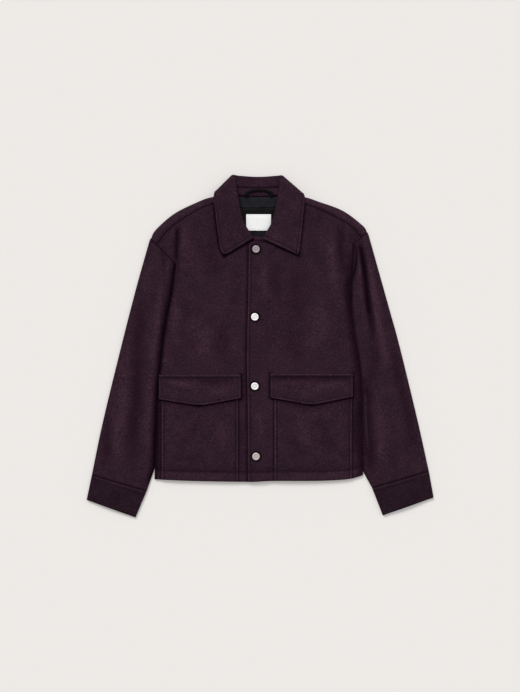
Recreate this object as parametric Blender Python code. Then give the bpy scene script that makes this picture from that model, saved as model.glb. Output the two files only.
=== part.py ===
"""Utility jacket in heavy wool, laid flat on its back with the front up.

The floor is the plane z = 0, the collar points along +Y, and left and right are as seen from above.
All sizes below are in millimetres and are turned into metres when a mesh is made.
"""

import math
from collections import namedtuple

import bmesh
import bpy
import numpy as np

MM = 0.001

# Cloth and layers
CLOTH = 2.6  # wool shell with its lining pressed to it
SEAM = 0.3  # gap between pieces that are sewn together
FOLD_RADIUS = 3.9  # outside radius where the body turns over at its sides and shoulders
BODY_DEPTH = 9.2  # floor to the top of a front, at the middle of the chest
CROWN_REACH = 70.0  # distance from a side over which the front rises to its full height
CENTRE_X = -4.0  # the garment's own middle line

# Sampling of the panels
SIDE_ROWS = 14
ARMHOLE_ROWS = 3
SHOULDER_ROWS = 8
PANEL_COLUMNS = 9
CENTRE_COLUMNS = [0.0, 31.0, 39.0, 48.5]  # distances of the first columns from a centre edge
CENTRE_FADE = 3  # rows above the armhole over which the columns become even
ARC_STEPS = 3
TURN_ROWS = 2.0  # rows over which a turned edge flattens toward the armhole
HEM_ROWS = 2  # rows that follow the hem's curve
NECK_ROWS = 3.0  # rows over which the back neckline's dip sets in
EDGE_SHARE = 0.06  # a flat edge's steps take at most this share of a section

# Front closing
FRONT_EDGE_X = -25.3  # free edge of the right front, which lies on top
UNDERLAP_X = 5.0  # hidden edge of the left front
UNDERLAP_CLEAR = 1.5  # the right front stays raised this far past that edge
UNDERLAP_RAMP = 15.5  # and comes down to the body level over this width
TOP_RAMP_SHIFT = 18.0  # and this much further out by its upper end
TOP_RAMP_Y = (-38.0, -12.0)  # where that shift sets in, from the upper end
OVERLAP_END_Y = (4.0, 20.0)  # where the raised part ends, from the upper end
TOP_EDGE = {"left": 246.5, "right": 243.3}  # upper end of each front's centre edge
TOP_ROWS = 2  # sections that start on the last stretch of the centre edge
TOP_STRETCH = 26.0  # length of that stretch

# Outlines of the body, from the hem to the neck. Each row is one measured place.
Place = namedtuple("Place", "x y")
SIDE_LINE = {
    "left": [
        Place(-243.0, -306.5),
        Place(-239.0, -181.0),
        Place(-234.4, -100.0),
        Place(-220.6, 30.0),
        Place(-204.5, 118.0),
        Place(-194.6, 188.0),
    ],
    "right": [
        Place(237.5, -297.0),
        Place(235.8, -181.0),
        Place(232.8, -70.0),
        Place(216.0, 40.0),
        Place(211.0, 110.0),
        Place(216.4, 230.5),
    ],
}
SHOULDER_LINE = {
    "left": [
        Place(-251.6, 247.0),
        Place(-238.3, 267.3),
        Place(-195.3, 304.5),
        Place(-137.8, 332.5),
        Place(-108.0, 341.5),
        Place(-68.0, 348.5),
    ],
    "right": [
        Place(247.7, 260.4),
        Place(236.0, 276.0),
        Place(190.0, 310.3),
        Place(132.5, 331.5),
        Place(100.0, 341.0),
        Place(60.0, 348.5),
    ],
}
FORWARD_SEAM = {  # the seam that lies about 18 mm ahead of the shoulder fold
    "left": [
        Place(-237.9, 232.8),
        Place(-207.9, 270.0),
        Place(-152.5, 308.0),
        Place(-111.6, 325.0),
        Place(-73.0, 335.0),
    ],
    "right": [
        Place(235.5, 248.7),
        Place(205.6, 279.0),
        Place(144.0, 311.5),
        Place(102.8, 326.0),
        Place(65.0, 335.0),
    ],
}
HEM_LINE = [
    Place(-243.0, -306.5),
    Place(-150.0, -309.5),
    Place(-26.0, -314.0),
    Place(25.0, -311.5),
    Place(128.0, -309.5),
    Place(183.0, -307.0),
    Place(215.0, -303.0),
    Place(237.5, -297.0),
]
BACK_HEM_RISE = 2.0  # the back hem stops this far above the front hem
BACK_NECK_DIP = 5.0  # the back neckline hangs this far below its two ends

# The collar's fall lies under the back at the neck and lifts it off the floor there.
NECK_LIFT = 6.2
LIFT_Y = (262.0, 318.0)
LIFT_X = (104.0, 150.0)

# Largest folds: soft troughs in the fronts and sleeves, one row each.
FOLD_SETS_IN = (-0.1, 0.3)  # shares of a fold's length
FOLD_FADES = (0.6, 1.1)
Fold = namedtuple("Fold", "x0 y0 x1 y1 half_width depth")
FOLDS = [
    Fold(-188.0, 275.0, -184.0, 190.0, 14.0, 1.3),
    Fold(183.0, 250.0, 186.0, 150.0, 17.0, 1.2),
    Fold(226.0, 232.0, 262.0, 80.0, 11.0, 2.2),
    Fold(262.0, 80.0, 272.0, -60.0, 16.0, 1.3),
    Fold(-252.0, 60.0, -300.0, -150.0, 18.0, 0.9),
]

# Sleeves: a row for each stretch from the shoulder to the cuff. Depths are floor to top.
SleeveEnd = namedtuple("SleeveEnd", "outer_x outer_y inner_x inner_y")
SLEEVE_CUFF = {
    "left": SleeveEnd(-385.3, -296.0, -260.8, -333.5),
    "right": SleeveEnd(385.8, -291.5, 258.8, -326.0),
}
CUFF_END = {
    "left": SleeveEnd(-397.5, -351.5, -286.0, -393.2),
    "right": SleeveEnd(397.5, -347.0, 285.0, -389.5),
}
SLEEVE_OUTER = {  # outer edge between the shoulder and the cuff
    "left": [
        Place(-285.0, 127.0),
        Place(-324.1, -34.0),
        Place(-361.0, -181.0),
        Place(-385.3, -296.0),
    ],
    "right": [
        Place(295.0, 95.0),
        Place(320.5, 3.0),
        Place(358.0, -163.0),
        Place(385.8, -291.5),
    ],
}
SleeveDepth = namedtuple("SleeveDepth", "along outer middle inner")
SLEEVE_DEPTHS = [
    SleeveDepth(0.00, 7.8, 8.9, 8.4),
    SleeveDepth(0.12, 7.4, 9.2, 6.6),
    SleeveDepth(0.45, 7.2, 9.4, 6.2),
    SleeveDepth(0.85, 7.2, 9.2, 6.6),
    SleeveDepth(1.00, 7.4, 8.6, 7.2),
]
CUFF_DEPTH = SleeveDepth(1.0, 7.6, 8.8, 7.6)
SLEEVE_FREE_ROWS = 2  # sections below the place where a sleeve leaves the body
SLEEVE_LEAVES_ROW = 1  # the sleeve's inner edge follows the body down to this row
SLEEVE_TOP_POINTS = 5
SLEEVE_UNDER_SHARES = (0.0, 0.35, 0.7)  # places of the points along the underside
SHOULDER_SHARE = 0.02  # the sleeve's top stands off the shoulder by this share of a row
CUFF_SECTIONS = 3

# Collar: stations from a front end to the middle of the back. The fall turns over the stand at
# the roll; at a turn of 0 it lies on top, at 180 it lies underneath, at 90 it stands on edge.
FALL_CLOTH = 3.0  # two layers pressed together
STAND_CLOTH = 2.6
ROLL_RADIUS = 2.2
ROLL_STEPS = 5
FALL_STEPS = 6
Station = namedtuple("Station", "roll_x roll_y edge_x edge_y neck_x neck_y turn rise")
COLLAR = {
    "left": [
        Station(-20.0, 249.5, -81.5, 208.0, -23.5, 247.4, 0, 2.2),
        Station(-27.5, 262.0, -89.5, 221.0, -31.7, 260.6, 0, 2.2),
        Station(-39.5, 283.0, -95.0, 248.0, -43.8, 281.4, 0, 2.4),
        Station(-49.0, 318.0, -100.0, 286.0, -53.6, 316.5, 0, 2.6),
        Station(-54.5, 350.0, -103.5, 318.0, -58.6, 346.8, 0, 3.0),
        Station(-58.5, 377.0, -106.0, 336.0, -63.0, 372.0, 12, 3.0),
        Station(-60.2, 384.5, -106.0, 346.0, -64.5, 380.0, 50, 2.2),
        Station(-61.3, 389.6, -104.5, 351.0, -63.5, 382.0, 90, 1.6),
        Station(-57.6, 391.0, -98.5, 346.0, -60.0, 374.0, 130, 3.2),
        Station(-52.5, 389.7, -85.0, 328.0, -60.0, 350.0, 168, 21.0),
        Station(-40.0, 388.4, -54.0, 320.0, -43.0, 347.0, 180, 22.0),
        Station(-22.0, 387.0, -27.0, 318.5, -23.0, 344.9, 180, 22.0),
    ],
    "right": [
        Station(11.0, 249.0, 88.0, 209.5, 15.0, 246.8, 0, 2.2),
        Station(18.5, 262.0, 91.0, 224.0, 22.8, 260.6, 0, 2.2),
        Station(30.0, 283.0, 94.5, 250.0, 34.4, 281.4, 0, 2.4),
        Station(40.0, 318.0, 98.5, 288.0, 44.6, 316.5, 0, 2.6),
        Station(45.5, 350.0, 101.5, 320.0, 49.8, 346.8, 0, 3.0),
        Station(49.5, 377.0, 103.0, 336.0, 54.0, 372.0, 12, 3.0),
        Station(51.2, 384.5, 102.0, 346.0, 55.5, 380.0, 50, 2.2),
        Station(52.8, 389.6, 99.5, 351.0, 55.0, 382.0, 90, 1.6),
        Station(49.1, 391.0, 93.0, 346.0, 51.5, 374.0, 130, 3.2),
        Station(44.5, 389.7, 78.0, 328.0, 52.0, 350.0, 168, 21.0),
        Station(32.0, 388.4, 46.0, 320.0, 35.0, 347.0, 180, 22.0),
        Station(14.0, 387.0, 19.0, 318.5, 15.0, 344.9, 180, 22.0),
    ],
}
COLLAR_BACK = Station(-4.0, 386.4, -4.0, 318.0, -4.0, 344.4, 180, 22.0)
NECK_STATIONS = 6  # stations whose neck seam lies on a front
NECK_EVERY = 8  # the front's neckline runs through every so many points of that seam
NECK_GAP = 4 * SEAM
FRONT_NECK_TOP = 334.0  # the front's neckline ends here, at the forward seam
STAND_TURN = 160.0  # the stand shows only where the fall has turned this far under
FALL_CLEAR = 0.7 + 0.5 * FALL_CLOTH  # middle of the fall over the front it lies on
FALL_ON_TOP = 20.0  # up to this turn the fall rests on the front
EDGE_GOES_UNDER = (20.0, 150.0)  # turns between which the fall's edge goes from the front to the floor
ROLL_PROBE = 14.0  # the roll stands over the front's height this far along the fall
CREASE_PRESS = 0.62  # share of its thickness the fall loses in the crease at each shoulder
CREASE_TIGHT = 0.35  # and share of its roll's radius
ROLL_LIFT = 1.4  # the fall rises this much more toward its roll
COLLAR_REFINE = 2  # sections made for each stretch between two stations
BACK_ROLL_HEIGHT = 6.2  # height of the roll's middle at the back of the neck

# Pockets and flaps
POCKET_CLOTH = 2.2
FLAP_CLOTH = 3.4
Pocket = namedtuple("Pocket", "inner_x outer_x top_y")
POCKETS = {"left": Pocket(-49.0, -224.5, -84.0), "right": Pocket(31.5, 211.5, -84.0)}
Flap = namedtuple("Flap", "inner_x outer_x top_y inner_y point_x point_y outer_y")
FLAPS = {
    "left": Flap(-43.5, -232.3, -69.5, -121.0, -137.0, -138.0, -123.0),
    "right": Flap(24.3, 214.0, -67.0, -120.5, 118.5, -137.5, -119.5),
}
FLAP_STEP = (3.0, 11.0)  # a flap steps down off the pocket this far above the pocket's mouth
FLAP_HALF = 4  # columns on each side of a flap's point
FLAP_SHARES = (0.0, 0.3, 0.65, 1.0)  # rows from the step down to the flap's lower edge
POCKET_HEM_INSET = 0.6  # the pocket stops this far above the hem's edge
POCKET_COLUMNS = 7
POCKET_ROWS = 8

# Press studs
Stud = namedtuple("Stud", "name x y")
STUDS = [
    Stud("stud_1", -9.0, 222.9),
    Stud("stud_2", -11.7, 67.2),
    Stud("stud_3", -11.7, -91.8),
    Stud("stud_4", -9.0, -253.0),
]
STUD_RADIUS = 9.0
STUD_HEIGHT = 3.4
STUD_SIDES = 20
StudRing = namedtuple("StudRing", "radius height")
STUD_RINGS = [  # shares of the cap's radius and height, from its foot over the rim into the dish
    StudRing(0.86, 0.00),
    StudRing(1.00, 0.28),
    StudRing(0.97, 0.62),
    StudRing(0.84, 0.88),
    StudRing(0.66, 0.96),
    StudRing(0.52, 0.80),
]
STUD_DISH = 0.92  # share of the height at the dish's middle

# Inside of the neck
LINING_CLOTH = 1.0
LINING_GAP = 0.7  # the lining hangs loose by this much
LABEL_CLOTH = 0.6
Patch = namedtuple("Patch", "x0 x1 y0 y1 columns rows")
LINING_YOKE = Patch(-66.0, 58.0, 318.2, 341.5, 9, 3)
LINING_BACK = Patch(-70.0, 62.0, 215.0, 317.6, 9, 9)
LABEL = Patch(-31.7, 27.4, 265.4, 304.3, 5, 5)
LOOP_WIDTH = 7.0
LOOP_CLOTH = 1.4
LOOP_FEET_X = (-33.0, 30.0)
LOOP_FOOT_Y = 345.5
LOOP_RISE = 11.5
LOOP_FULLNESS = 0.7  # below 1 the loop's arch is fuller than a half circle
LOOP_STEPS = 10


def smooth_step(value, low, high):
    """0 below low, 1 above high, and an even S between them."""
    t = np.clip((np.asarray(value, float) - low) / (high - low), 0.0, 1.0)
    return t * t * (3.0 - 2.0 * t)


def spline(points, per_stretch=16):
    """Points along a smooth curve through the given rows of numbers."""
    rows = np.asarray(points, float)
    before = 2.0 * rows[0] - rows[1]
    after = 2.0 * rows[-1] - rows[-2]
    padded = np.vstack([before, rows, after])
    made = []
    for a, b, c, d in zip(padded, padded[1:], padded[2:], padded[3:]):
        for t in np.arange(per_stretch) / per_stretch:
            square = (2 * a - 5 * b + 4 * c - d) * t**2
            cube = (3 * b - a - 3 * c + d) * t**3
            made.append(0.5 * (2 * b + (c - a) * t + square + cube))
    made.append(rows[-1])
    return np.array(made)


def spaced(points, count):
    """The given number of points, evenly spaced along a smooth curve through the rows."""
    dense = spline(points)
    steps = np.linalg.norm(np.diff(dense[:, :2], axis=0), axis=1)
    along = np.concatenate([[0.0], np.cumsum(steps)])
    wanted = np.linspace(0.0, along[-1], count)
    return np.column_stack([np.interp(wanted, along, dense[:, k]) for k in range(dense.shape[1])])


def body_edges(side):
    """The body's outline on one side, row by row: the side, the armhole and the shoulder fold."""
    side_part = spaced(SIDE_LINE[side], SIDE_ROWS + 1)
    shoulder_part = spaced(SHOULDER_LINE[side], SHOULDER_ROWS + 1)
    armhole = np.linspace(side_part[-1], shoulder_part[0], ARMHOLE_ROWS + 2)[1:-1]
    return side_part, armhole, shoulder_part


def front_edges(side):
    """The outer edge of one front, row by row: the side, the armhole and the forward seam."""
    side_part = body_edges(side)[0]
    seam_part = spaced(FORWARD_SEAM[side], SHOULDER_ROWS + 1)
    armhole = np.linspace(side_part[-1], seam_part[0], ARMHOLE_ROWS + 2)[1:-1]
    return np.vstack([side_part, armhole, seam_part])


def neck_edge(side):
    """The edge of one front along the collar stand, a seam's gap outside the stand."""
    places = spline([(s.neck_x, s.neck_y) for s in COLLAR[side][:NECK_STATIONS]])
    places = places[places[:, 1] < FRONT_NECK_TOP]
    run = np.gradient(places, axis=0)
    run = run / np.linalg.norm(run, axis=1)[:, None]
    hand = -1.0 if side == "left" else 1.0
    outward = np.column_stack([hand * run[:, 1], -hand * run[:, 0]])
    return spaced((places + outward * NECK_GAP)[::NECK_EVERY], SHOULDER_ROWS + 1)


def hem_y(x):
    """Height of the front hem on the page at a place across the body."""
    curve = spline(HEM_LINE)
    return np.interp(x, curve[:, 0], curve[:, 1])


def side_x(side, y):
    """Where the body's side lies at a height on the page."""
    curve = np.vstack([spline(SIDE_LINE[side]), spline(SHOULDER_LINE[side])])
    return np.interp(y, curve[:, 1], curve[:, 0])


def lift(x, y):
    """How far the body lies off the floor, over the collar's fall."""
    across = 1.0 - smooth_step(np.abs(np.asarray(x) - CENTRE_X), *LIFT_X)
    return NECK_LIFT * across * smooth_step(y, *LIFT_Y)


def fold_depth(x, y):
    """Sum of the troughs at a place."""
    total = np.zeros(np.broadcast(x, y).shape)
    for f in FOLDS:
        run = np.array([f.x1 - f.x0, f.y1 - f.y0])
        length = np.linalg.norm(run)
        run = run / length
        along = (x - f.x0) * run[0] + (y - f.y0) * run[1]
        away = (x - f.x0) * run[1] - (y - f.y0) * run[0]
        share = along / length
        ends = smooth_step(share, *FOLD_SETS_IN) * (1.0 - smooth_step(share, *FOLD_FADES))
        total = total + f.depth * ends * np.exp(-((away / f.half_width) ** 2))
    return total


def overlap_rise(side, x, y):
    """The right front lies over the left one at the middle."""
    if side == "left":
        return np.zeros(np.broadcast(x, y).shape)
    above_end = np.asarray(y) - TOP_EDGE[side]
    start = UNDERLAP_X + UNDERLAP_CLEAR + TOP_RAMP_SHIFT * smooth_step(above_end, *TOP_RAMP_Y)
    raised = 1.0 - smooth_step(x - start, 0.0, UNDERLAP_RAMP)
    return (CLOTH + SEAM) * raised * (1.0 - smooth_step(above_end, *OVERLAP_END_Y))


def front_top(side, x, y):
    """Height of a front's outer face, without the turn at its edge."""
    from_side = np.abs(side_x(side, y) - x)
    raised = lift(x, y)
    share = np.maximum(smooth_step(from_side, 0.0, CROWN_REACH), raised / NECK_LIFT)
    crown = (BODY_DEPTH - 2 * FOLD_RADIUS) * share
    return raised + 2 * FOLD_RADIUS + crown + overlap_rise(side, x, y) - fold_depth(x, y)


def make_material(name, colour, roughness, metallic=0.0):
    """A plain material for one kind of cloth or metal."""
    material = bpy.data.materials.new(name)
    material.use_nodes = True
    shader = material.node_tree.nodes["Principled BSDF"]
    shader.inputs["Base Color"].default_value = (*colour, 1.0)
    shader.inputs["Roughness"].default_value = roughness
    shader.inputs["Metallic"].default_value = metallic
    return material


def add_mesh(name, points, faces, material):
    """A closed mesh object with its faces pointing out, from points in millimetres."""
    mesh = bpy.data.meshes.new(name)
    mesh.from_pydata((np.asarray(points) * MM).tolist(), [], faces)
    shaped = bmesh.new()
    shaped.from_mesh(mesh)
    bmesh.ops.recalc_face_normals(shaped, faces=shaped.faces)
    if shaped.calc_volume(signed=True) < 0:
        bmesh.ops.reverse_faces(shaped, faces=shaped.faces)
    shaped.to_mesh(mesh)
    shaped.free()
    mesh.shade_smooth()
    mesh.set_sharp_from_angle(angle=math.radians(40))
    mesh.materials.append(material)
    obj = bpy.data.objects.new(name, mesh)
    bpy.context.scene.collection.objects.link(obj)
    return obj


def wall(name, outer, inner, material, ring=False):
    """A solid wall between two grids of points. A ring closes on itself along its columns."""
    rows, columns = outer.shape[:2]
    total = rows * columns
    points = np.vstack([outer.reshape(-1, 3), inner.reshape(-1, 3)])
    last = columns if ring else columns - 1
    faces = []
    for r in range(rows - 1):
        for c in range(last):
            a, b = r * columns + c, r * columns + (c + 1) % columns
            d, e = a + columns, b + columns
            faces.append((a, b, e, d))
            faces.append((total + d, total + e, total + b, total + a))
    for r, turned in ((0, True), (rows - 1, False)):
        for c in range(last):
            a, b = r * columns + c, r * columns + (c + 1) % columns
            faces.append((b, a, total + a, total + b) if turned else (a, b, total + b, total + a))
    if not ring:
        for c, turned in ((0, False), (columns - 1, True)):
            for r in range(rows - 1):
                a, d = r * columns + c, (r + 1) * columns + c
                faces.append((d, a, total + a, total + d) if turned else (a, d, total + d, total + a))
    return add_mesh(name, points, faces, material)


def flat_step(length):
    """Spacing of the points by a flat edge, for a section of the given length."""
    return min(CLOTH, EDGE_SHARE * length)


def edge_reach(turn, length):
    """How far from a panel's edge its turned part begins."""
    return FOLD_RADIUS * math.sin(0.5 * math.pi * turn) + (1.0 - turn) * ARC_STEPS * flat_step(length)


def turned_edge(edge, inward, turn, base, upward, length):
    """Outer and inner points of a quarter turn from a panel's flat part to its edge.

    The turn is 1 for a full quarter circle and 0 for a flat edge; upward is 1 on a front, whose
    edge turns down from its top, and -1 on the back, whose edge turns up from the floor.
    """
    outer, inner = [], []
    end = 0.5 * math.pi * turn
    for k in range(ARC_STEPS + 1):
        angle = end * k / ARC_STEPS
        reach = FOLD_RADIUS * (math.sin(end) - math.sin(angle))
        reach += (1.0 - turn) * (ARC_STEPS - k) * flat_step(length)
        drop = FOLD_RADIUS * (1.0 - math.cos(angle))
        if turn == 1.0 and k == ARC_STEPS:
            drop -= 0.5 * SEAM
        x, y = edge + inward * reach
        outer.append((x, y, base - upward * drop))
        x, y = edge + inward * (reach + CLOTH * math.sin(angle))
        inner.append((x, y, base - upward * (drop + CLOTH * math.cos(angle))))
    return outer, inner


def front_start(side):
    """Where each section of a front starts: the centre edge, its top edge, then the neckline."""
    centre_x = UNDERLAP_X if side == "left" else FRONT_EDGE_X
    neck = neck_edge(side)
    top = TOP_EDGE[side]
    long_part = np.linspace(hem_y(centre_x), top - TOP_STRETCH, SIDE_ROWS + 1)
    short_part = np.linspace(top - TOP_STRETCH, top, TOP_ROWS + 1)[1:]
    centre = [(centre_x, y) for y in [*long_part, *short_part]]
    corner = np.array([centre_x, top])
    across = np.linspace(corner, neck[0], ARMHOLE_ROWS - TOP_ROWS + 2)[1:-1]
    return np.vstack([centre, across, neck])


def column_shares(row, length):
    """Shares of a section's length at which a front is sampled, closer by the centre edge."""
    even = np.linspace(0.0, 1.0, PANEL_COLUMNS + 1)[:-1]
    near = np.array(CENTRE_COLUMNS) / length
    rest = np.linspace(near[-1], 1.0, PANEL_COLUMNS - len(near) + 2)[1:-1]
    above_armhole = row - SIDE_ROWS - ARMHOLE_ROWS
    mix = smooth_step(above_armhole, 0.0, CENTRE_FADE)
    return (1.0 - mix) * np.concatenate([near, rest]) + mix * even


def build_front(side, material):
    """One front: straight sections from its centre edge or neckline to its side or forward seam."""
    outer_rows, inner_rows = [], []
    for row, (start, stop) in enumerate(zip(front_start(side), front_edges(side))):
        length = np.linalg.norm(start - stop)
        inward = (start - stop) / length
        seamed = row > SIDE_ROWS
        stop = stop + inward * SEAM * seamed
        turn = 0.0 if seamed else float(1.0 - smooth_step(row, SIDE_ROWS - TURN_ROWS, SIDE_ROWS))
        flat_end = stop + inward * edge_reach(turn, length)
        top, under = [], []
        for u in column_shares(row, length):
            x, y = start + (flat_end - start) * u
            if row < HEM_ROWS:
                straight = start[1] + (stop[1] - start[1]) * u
                y += (hem_y(x) - straight) * (1.0 - row / HEM_ROWS)
            z = float(front_top(side, x, y))
            top.append((x, y, z))
            under.append((x, y, z - CLOTH))
        base = float(front_top(side, *flat_end))
        arc_top, arc_under = turned_edge(stop, inward, turn, base, 1.0, length)
        outer_rows.append(top + arc_top)
        inner_rows.append(under + arc_under)
    return wall(f"front_{side}", np.array(outer_rows), np.array(inner_rows), material)


def build_back(material):
    """The back: sections across the floor, turned up at both sides and at the shoulders."""
    edges = [np.vstack(body_edges(side)) for side in ("left", "right")]
    first_shoulder = SIDE_ROWS + 1 + ARMHOLE_ROWS
    last_row = len(edges[0]) - 1
    half_neck = 0.5 * (edges[1][-1][0] - edges[0][-1][0])
    outer_rows, inner_rows = [], []
    for row, (left, right) in enumerate(zip(*edges)):
        length = np.linalg.norm(right - left)
        inward = (right - left) / length
        if row <= SIDE_ROWS:
            turn = float(1.0 - smooth_step(row, SIDE_ROWS - TURN_ROWS, SIDE_ROWS))
        else:
            turn = float(smooth_step(row, first_shoulder - 1.0, first_shoulder + 1.0))
        flat, shown, hidden = [], [], []
        for edge, direction in ((left, inward), (right, -inward)):
            if SIDE_ROWS < row < first_shoulder:
                edge = edge + direction * SEAM
            if row == 0:
                edge = edge + np.array([0.0, BACK_HEM_RISE])
            flat.append(edge + direction * edge_reach(turn, length))
            outer, inner = turned_edge(edge, direction, turn, float(lift(*edge)), -1.0, length)
            shown.append(outer)
            hidden.append(inner)
        middle, middle_inner = [], []
        for u in np.linspace(0.0, 1.0, 2 * PANEL_COLUMNS + 1)[1:-1]:
            x, y = flat[0] + (flat[1] - flat[0]) * u
            if row == 0:
                y = hem_y(x) + BACK_HEM_RISE
            dip = BACK_NECK_DIP * (1.0 - ((x - CENTRE_X) / half_neck) ** 2)
            y -= dip * smooth_step(row, last_row - NECK_ROWS, last_row)
            z = float(lift(x, y))
            middle.append((x, y, z))
            middle_inner.append((x, y, z + CLOTH))
        outer_rows.append(shown[0][::-1] + middle + shown[1])
        inner_rows.append(hidden[0][::-1] + middle_inner + hidden[1])
    return wall("back", np.array(outer_rows), np.array(inner_rows), material)


def build_yoke(side, material):
    """The strip that comes over the shoulder, from the fold to the forward seam."""
    folds = body_edges(side)[2]
    seams = spaced(FORWARD_SEAM[side], SHOULDER_ROWS + 1)
    outer_rows, inner_rows = [], []
    for row, (crest, seam) in enumerate(zip(folds, seams)):
        inward = (seam - crest) / np.linalg.norm(seam - crest)
        if row == 0:
            along = (folds[1] - crest) / np.linalg.norm(folds[1] - crest)
            crest, seam = crest + along * SEAM * 2, seam + along * SEAM * 2
        stop = seam - inward * SEAM
        flat_start = crest + inward * FOLD_RADIUS
        base = float(lift(*crest)) + 2 * FOLD_RADIUS
        arc, arc_inner = turned_edge(crest, inward, 1.0, base, 1.0, FOLD_RADIUS)
        top, under = [], []
        for u in np.linspace(0.0, 1.0, 3)[1:]:
            x, y = flat_start + (stop - flat_start) * u
            z = float(front_top(side, x, y))
            top.append((x, y, z))
            under.append((x, y, z - CLOTH))
        outer_rows.append(arc[::-1] + top)
        inner_rows.append(arc_inner[::-1] + under)
    return wall(f"yoke_{side}", np.array(outer_rows), np.array(inner_rows), material)


def tube_ring(outer_end, inner_end, depth):
    """One flattened ring of a sleeve, flat underneath, with the cloth's inside ring beside it."""
    run = inner_end - outer_end
    width = np.linalg.norm(run)
    across = run / width
    radii = (0.5 * depth.outer, 0.5 * depth.inner)
    flat = width - radii[0] - radii[1]
    outside, inside = [], []

    def put(distance, z, inset_distance, inset_z):
        place = outer_end + across * distance
        outside.append((place[0], place[1], z))
        place = outer_end + across * inset_distance
        inside.append((place[0], place[1], inset_z))

    def corner(centre, radius, start, stop):
        for k in range(ARC_STEPS):
            angle = math.radians(start + (stop - start) * k / ARC_STEPS)
            small = radius - CLOTH
            put(
                centre + radius * math.cos(angle),
                radius + radius * math.sin(angle),
                centre + small * math.cos(angle),
                radius + small * math.sin(angle),
            )

    corner(radii[0], radii[0], 180.0, 90.0)
    crown = depth.middle - 0.5 * (depth.outer + depth.inner)
    for u in np.linspace(0.0, 1.0, SLEEVE_TOP_POINTS + 1)[:-1]:
        distance = radii[0] + flat * u
        place = outer_end + across * distance
        z = depth.outer + (depth.inner - depth.outer) * u + crown * math.sin(math.pi * u) ** 2
        z -= float(fold_depth(*place))
        put(distance, z, distance, z - CLOTH)
    corner(radii[0] + flat, radii[1], 90.0, 0.0)
    corner(radii[0] + flat, radii[1], 0.0, -90.0)
    for u in SLEEVE_UNDER_SHARES:
        distance = radii[0] + flat * (1.0 - u)
        put(distance, 0.0, distance, CLOTH)
    corner(radii[0], radii[0], -90.0, -180.0)
    return outside, inside


def depth_at(along):
    """Sleeve depths at a share of its length."""
    table = np.array(SLEEVE_DEPTHS)
    values = [np.interp(along, table[:, 0], table[:, k]) for k in (1, 2, 3)]
    return SleeveDepth(along, *values)


def build_sleeve(side, material):
    """A sleeve from the armhole to the cuff. Its inner edge follows the body's side."""
    side_part, _, shoulder_part = body_edges(side)
    end = SLEEVE_CUFF[side]
    outward = np.array([-1.0 if side == "left" else 1.0, 0.0])
    beside = side_part[::-1][: SIDE_ROWS + 1 - SLEEVE_LEAVES_ROW] + outward * SEAM
    beside[0] = side_part[-1] + outward * SEAM * 2
    cuff_inner = np.array([end.inner_x, end.inner_y])
    free = np.linspace(beside[-1], cuff_inner, SLEEVE_FREE_ROWS + 1)[1:]
    inner_ends = np.vstack([beside, free])
    beyond = (shoulder_part[0] - shoulder_part[1]) * SHOULDER_SHARE
    shoulder = shoulder_part[0] + beyond + outward * SEAM
    outer_ends = spaced([shoulder, *SLEEVE_OUTER[side]], len(inner_ends))
    shares = np.linspace(0.0, 1.0, len(inner_ends))
    outer_rows, inner_rows = [], []
    for share, outer_end, inner_end in zip(shares, outer_ends, inner_ends):
        ring = tube_ring(outer_end, inner_end, depth_at(share))
        outer_rows.append(ring[0])
        inner_rows.append(ring[1])
    return wall(f"sleeve_{side}", np.array(outer_rows), np.array(inner_rows), material, ring=True)


def build_cuff(side, material):
    """The cuff band, a seam's gap below the sleeve."""
    top, bottom = SLEEVE_CUFF[side], CUFF_END[side]
    tops = np.array([[top.outer_x, top.outer_y], [top.inner_x, top.inner_y]])
    bottoms = np.array([[bottom.outer_x, bottom.outer_y], [bottom.inner_x, bottom.inner_y]])
    drop = (bottoms - tops) / np.linalg.norm(bottoms - tops, axis=1)[:, None]
    tops = tops + drop * SEAM
    outer_rows, inner_rows = [], []
    for share in np.linspace(0.0, 1.0, CUFF_SECTIONS):
        outer_end, inner_end = tops + (bottoms - tops) * share
        ring = tube_ring(outer_end, inner_end, CUFF_DEPTH)
        outer_rows.append(ring[0])
        inner_rows.append(ring[1])
    return wall(f"cuff_{side}", np.array(outer_rows), np.array(inner_rows), material, ring=True)


def collar_stations():
    """All stations from the left front end round the back to the right front end, refined."""
    rows = [*COLLAR["left"], COLLAR_BACK, *COLLAR["right"][::-1]]
    return [Station(*values) for values in spline(rows, COLLAR_REFINE)]


def collar_frame(station):
    """Roll middle, the fall's outer-face direction, and the ends of the fall and the stand."""
    roll = np.array([station.roll_x, station.roll_y])
    edge = np.array([station.edge_x, station.edge_y])
    neck = np.array([station.neck_x, station.neck_y])
    side = "left" if station.roll_x < CENTRE_X else "right"
    under = smooth_step(station.turn, 0.0, 180.0)
    lean = (edge - roll) / np.linalg.norm(edge - roll)
    hand = 1.0 if side == "left" else -1.0
    level = np.array([hand * lean[1], -hand * lean[0]])
    angle = math.radians(station.turn)
    face = np.array([*(level * math.sin(angle)), math.cos(angle)])
    edge_under = smooth_step(station.turn, *EDGE_GOES_UNDER)
    on_front = float(front_top(side, *edge)) + FALL_CLEAR
    edge_z = (1.0 - edge_under) * on_front + edge_under * 0.5 * FALL_CLOTH
    inner_top = float(front_top(side, *(roll + lean * ROLL_PROBE))) + FALL_CLEAR + ROLL_LIFT
    roll_z = (1.0 - under) * (inner_top - ROLL_RADIUS) + under * BACK_ROLL_HEIGHT
    front_neck = float(front_top(side, *neck)) - float(overlap_rise(side, *neck)) - 0.5 * CLOTH
    back_neck = NECK_LIFT + CLOTH + SEAM + 0.5 * STAND_CLOTH
    neck_z = (1.0 - under) * front_neck + under * back_neck
    return np.array([*roll, roll_z]), face, np.array([*edge, edge_z]), np.array([*neck, neck_z])


def creased(station, loss):
    """What is left of a size where the fall is creased at a shoulder, for a loss at its middle."""
    return 1.0 - loss * math.sin(math.radians(station.turn)) ** 2


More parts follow.
